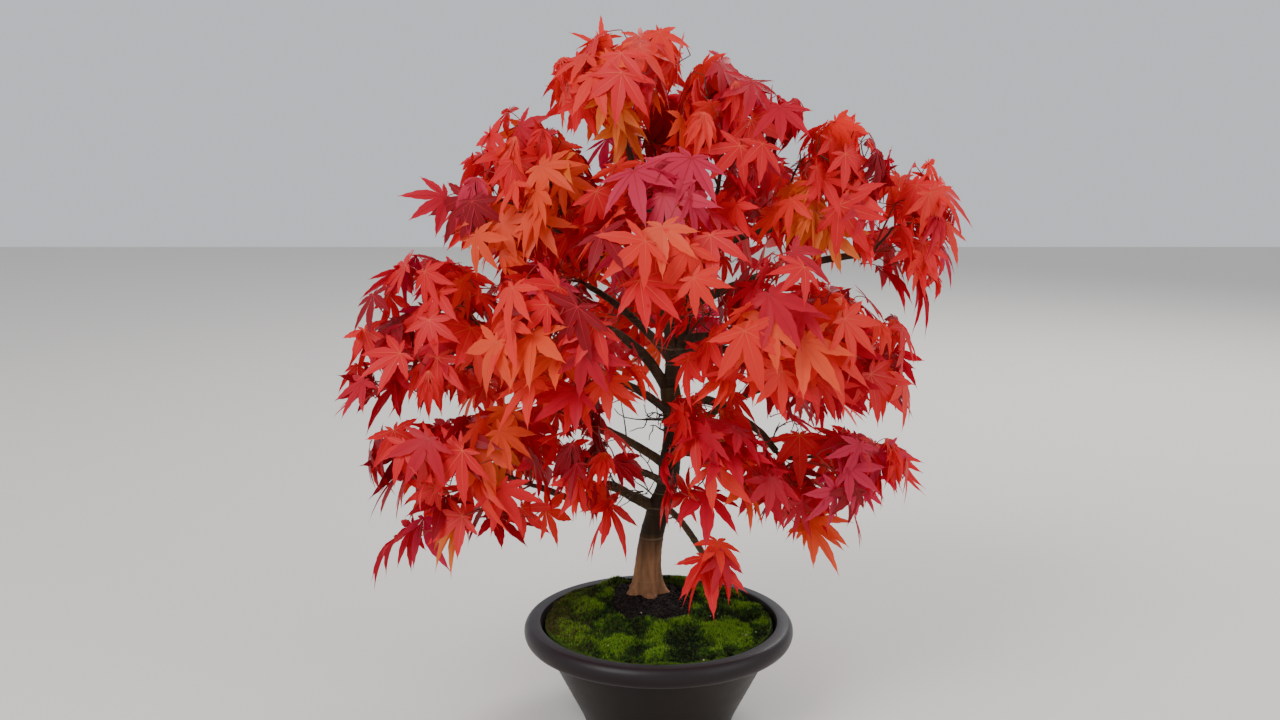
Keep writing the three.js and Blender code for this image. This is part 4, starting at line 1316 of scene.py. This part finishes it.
def lobe_start(k, side, bearings, lengths, folded):
    """Where the edge of one half of a lobe starts: along its rib and away from it."""
    other = k + side
    if 0 <= other < len(bearings):
        half = abs(math.radians(bearings[other] - bearings[k])) / 2
        sinus = BLADE.sinus * (lengths[k] + lengths[other]) / 2
    else:
        widest, sinus = BLADE.notch
        half = BLADE.folded_notch if folded else math.radians(widest - abs(bearings[k]))
    turn = min(half, BLADE.widest_start)
    return sinus * math.cos(turn), sinus * math.sin(turn)


def half_lobe(start_u, start_v, length):
    """Rows of points along the rib and along the toothed edge, as u along and v across it."""
    share = np.linspace(0, 1, BLADE.rows + 1)
    teeth = BLADE.tooth * (-1.0) ** np.arange(len(share))
    teeth[[0, -1]] = 0
    edge_u = start_u + (length - start_u) * share + teeth * BLADE.tooth_along
    edge_v = start_v * (1 - share) ** BLADE.neck + teeth
    belly = np.sin(math.pi * share ** BLADE.widest) * (1 - share) ** BLADE.point
    edge_v += BLADE.belly * length * belly
    edge_v[-1] = 0
    rib_u = start_u + (length - start_u) * share - start_u * (1 - share)
    return share, rib_u, edge_u, edge_v


def blade_variant(random, folded):
    """Points and faces of one leaf about one unit long, and those of the ribs on its lobes."""
    own_bearings, own_lengths = LOBE_SETS[random.integers(len(LOBE_SETS))]
    count = len(own_bearings)
    bearings = own_bearings * random.uniform(*BLADE.spread) + random.normal(0, BLADE.turn, count)
    lengths = own_lengths * random.uniform(*BLADE.spread, count)
    for form in BLADE_FORMS[:1 + folded]:
        fold = random.uniform(*form.fold)
        curl = random.uniform(*form.curl)
        bends = random.normal(*form.bend, count)
    if folded:
        bearings = bearings * BLADE.narrowed
    blade = Gathered()
    ribs = Gathered()
    n = BLADE.rows + 1
    faces = [(i, n + i, n + i + 1, i + 1) for i in range(n - 2)] + [(n - 2, 2 * n - 2, 2 * n - 1)]
    for k, (bearing, length) in enumerate(zip(bearings, lengths)):
        axis = math.radians(bearing)

        def placed(u, v, share):
            keel = BLADE.folded_root + (1 - BLADE.folded_root) * share
            x = u * math.cos(axis) - v * math.sin(axis)
            y = u * math.sin(axis) + v * math.cos(axis)
            drop = bends[k] * (u / length) ** 2 * length
            return np.stack([x, y, fold * np.abs(v) * keel - drop - curl * (x * x + y * y)], axis=-1)

        for side in (-1, 1):
            start = lobe_start(k, side, bearings, lengths, folded)
            share, rib_u, edge_u, edge_v = half_lobe(*start, length)
            rib = placed(rib_u, np.zeros(n), share)
            half = np.vstack([rib, placed(edge_u, side * edge_v, share)])
            blade.add(half, faces if side < 0 else [tuple(reversed(face)) for face in faces])
        rib = rib[:-2]
        width = np.linspace(*RIB.widths, len(rib))[:, None]
        across = np.array([-math.sin(axis), math.cos(axis), 0])
        strip = np.vstack([rib - across * width, rib + across * width])
        strip[:, 2] += RIB.lift + fold * RIB.fold_lift
        m = len(rib)
        ribs.add(strip, [(i, i + 1, m + i + 1, m + i) for i in range(m - 1)])
    return [(np.vstack(part.points), part.faces) for part in (blade, ribs)]


# Autumn tints from rose and the deepest red to amber, and how they are dealt out by spray.
TINTS = {
    "rose": linear(206, 42, 76),
    "deep_red": linear(148, 15, 31),
    "crimson": linear(196, 20, 46),
    "scarlet": linear(224, 32, 44),
    "vermilion": linear(234, 52, 44),
    "orange": linear(238, 84, 48),
    "amber": linear(230, 118, 52),
}
COOL = {"rose": 0.08, "deep_red": 0.1, "crimson": 0.44, "scarlet": 0.38}
WARM = {"scarlet": 0.35, "vermilion": 0.46, "orange": 0.18, "amber": 0.01}
OWN_TINT = 0.56
DARK_TINTS = ("rose", "deep_red", "crimson")
VEINS = {"dark": linear(184, 34, 48), "light": linear(226, 82, 60)}
VEIN_GLOW = 0.2
BLADE_LENGTH = {"coarse": 0.96, "fine": 1.12}
VARIANTS = {"open": 12, "folded": 6}


def tint_of(warmth, random):
    share = WARM if random.uniform() < warmth else COOL
    return random.choice(list(share), p=np.array(list(share.values())) / sum(share.values()))


def neighbour_tint(tint, random):
    names = list(TINTS)
    return names[int(np.clip(names.index(tint) + random.choice([-1, 1]), 0, len(names) - 1))]


def add_leaf(node, variant, leaf_group, rib_group):
    look = node.look
    scale = BLADE_LENGTH["coarse" if node.coarse else "fine"]
    axes = np.array([look.along, look.across, look.normal])
    axes *= LEAF.length * look.size * scale
    for group, (points, faces) in zip((leaf_group, rib_group), variant):
        group.add(node.centre + points @ axes, faces)


def make_foliage():
    random = np.random.default_rng(81)
    open_blades, folded_blades = ([blade_variant(random, kind == "folded") for _ in range(count)]
                                  for kind, count in VARIANTS.items())
    wood, young, stalks = Gathered(), Gathered(), Gathered()
    leaves = {tint: Gathered() for tint in TINTS}
    veins = {shade: Gathered() for shade in VEINS}
    for order, own in enumerate(MASSES):
        nodes = grow_mass(own, order)
        add_twigs(nodes, wood, young, random)
        grown = [node for node in nodes if node.look]
        sprays = [node for node in grown if node.coarse]
        middles = np.array([node.centre for node in sprays])
        spray_tints = [tint_of(own.warmth, random) for _ in sprays]
        for node in grown:
            add_stalk(node, stalks)
            nearest = int(np.argmin(np.linalg.norm(middles - node.centre, axis=1)))
            tint = spray_tints[nearest]
            if random.uniform() > OWN_TINT:
                tint = neighbour_tint(tint, random)
            kinds = folded_blades if random.uniform() < own.folded else open_blades
            variant = kinds[random.integers(len(kinds))]
            shade = "dark" if tint in DARK_TINTS else "light"
            add_leaf(node, variant, leaves[tint], veins[shade])
    add_bare_twigs(wood, random)
    bark = bark_material("twig_bark", linear(92, 76, 58), linear(84, 68, 52), linear(96, 66, 48),
                         0.15, 0.6)
    finished = [(group, "leaves_" + tint, leaf_material("leaf_" + tint, TINTS[tint]), "foliage")
                for tint, group in leaves.items()]
    finished += [(group, "leaf_veins_" + shade,
                  leaf_material("leaf_vein_" + shade, VEINS[shade], VEIN_GLOW), "foliage")
                 for shade, group in veins.items()]
    finished += [
        (stalks, "leaf_stalks", plain_material("leaf_stalk", linear(150, 34, 30), 0.5), "foliage"),
        (wood, "twigs", bark, "bough"),
        (young, "twigs_young", plain_material("young_twig", linear(146, 50, 40), 0.55), "bough"),
    ]
    for group, name, material, slot in finished:
        group.piece(name, material, [own.name for own in MASSES], slot)


# Stage: a pale floor, soft light and the photograph's camera.
LIGHTS = [
    ("key_light", (-1.5, -1.7, 2.1), 1.5, 59),
    ("fill_light", (1.9, -1.1, 1.2), 1.6, 16),
    ("back_light", (1.1, 1.7, 1.9), 1.2, 44),
]
AIM = (0.0, 0.0, 0.33)
STAGE = Values(reach=4000, step=2000, sky=(0.9, 0.94, 1.0, 1), sky_strength=0.72)


def make_stage():
    lines = range(-STAGE.reach, STAGE.reach + 1, STAGE.step)
    corners = [(x, y, 0) for y in lines for x in lines]
    floor = Surface("floor_plain", 0.8, 0.2).coloured(linear(214, 210, 204)).material
    mesh_object("floor", corners, grid_faces(len(lines), len(lines), False), floor, smooth=False,
                stage=True)
    for name, place, span, power in LIGHTS:
        lamp = bpy.data.lights.new(name, "AREA")
        lamp.size = span
        lamp.energy = power
        light = new_object(name, lamp)
        light.location = place
        towards = np.array(AIM) - np.array(place)
        light.rotation_euler = (
            math.acos(-towards[2] / np.linalg.norm(towards)), 0,
            math.atan2(towards[1], towards[0]) - math.pi / 2)
    world = bpy.data.worlds.new("studio")
    world.use_nodes = True
    sky = world.node_tree.nodes["Background"]
    sky.inputs["Color"].default_value = STAGE.sky
    sky.inputs["Strength"].default_value = STAGE.sky_strength
    bpy.context.scene.world = world


def make_camera():
    view = bpy.data.cameras.new("camera")
    view.lens = CAMERA.lens
    view.sensor_width = CAMERA.sensor
    view.clip_start = CAMERA.clip_start
    camera = new_object("camera", view)
    camera.location = CAMERA.place
    camera.rotation_euler = (math.radians(90 - CAMERA.tilt_down), 0, 0)
    bpy.context.scene.camera = camera


make_camera()
make_stage()
make_pot()
make_soil()
make_moss()
make_tufts()
make_crumbs()
make_trunk()
make_boughs()
make_foliage()

bpy.context.view_layer.update()
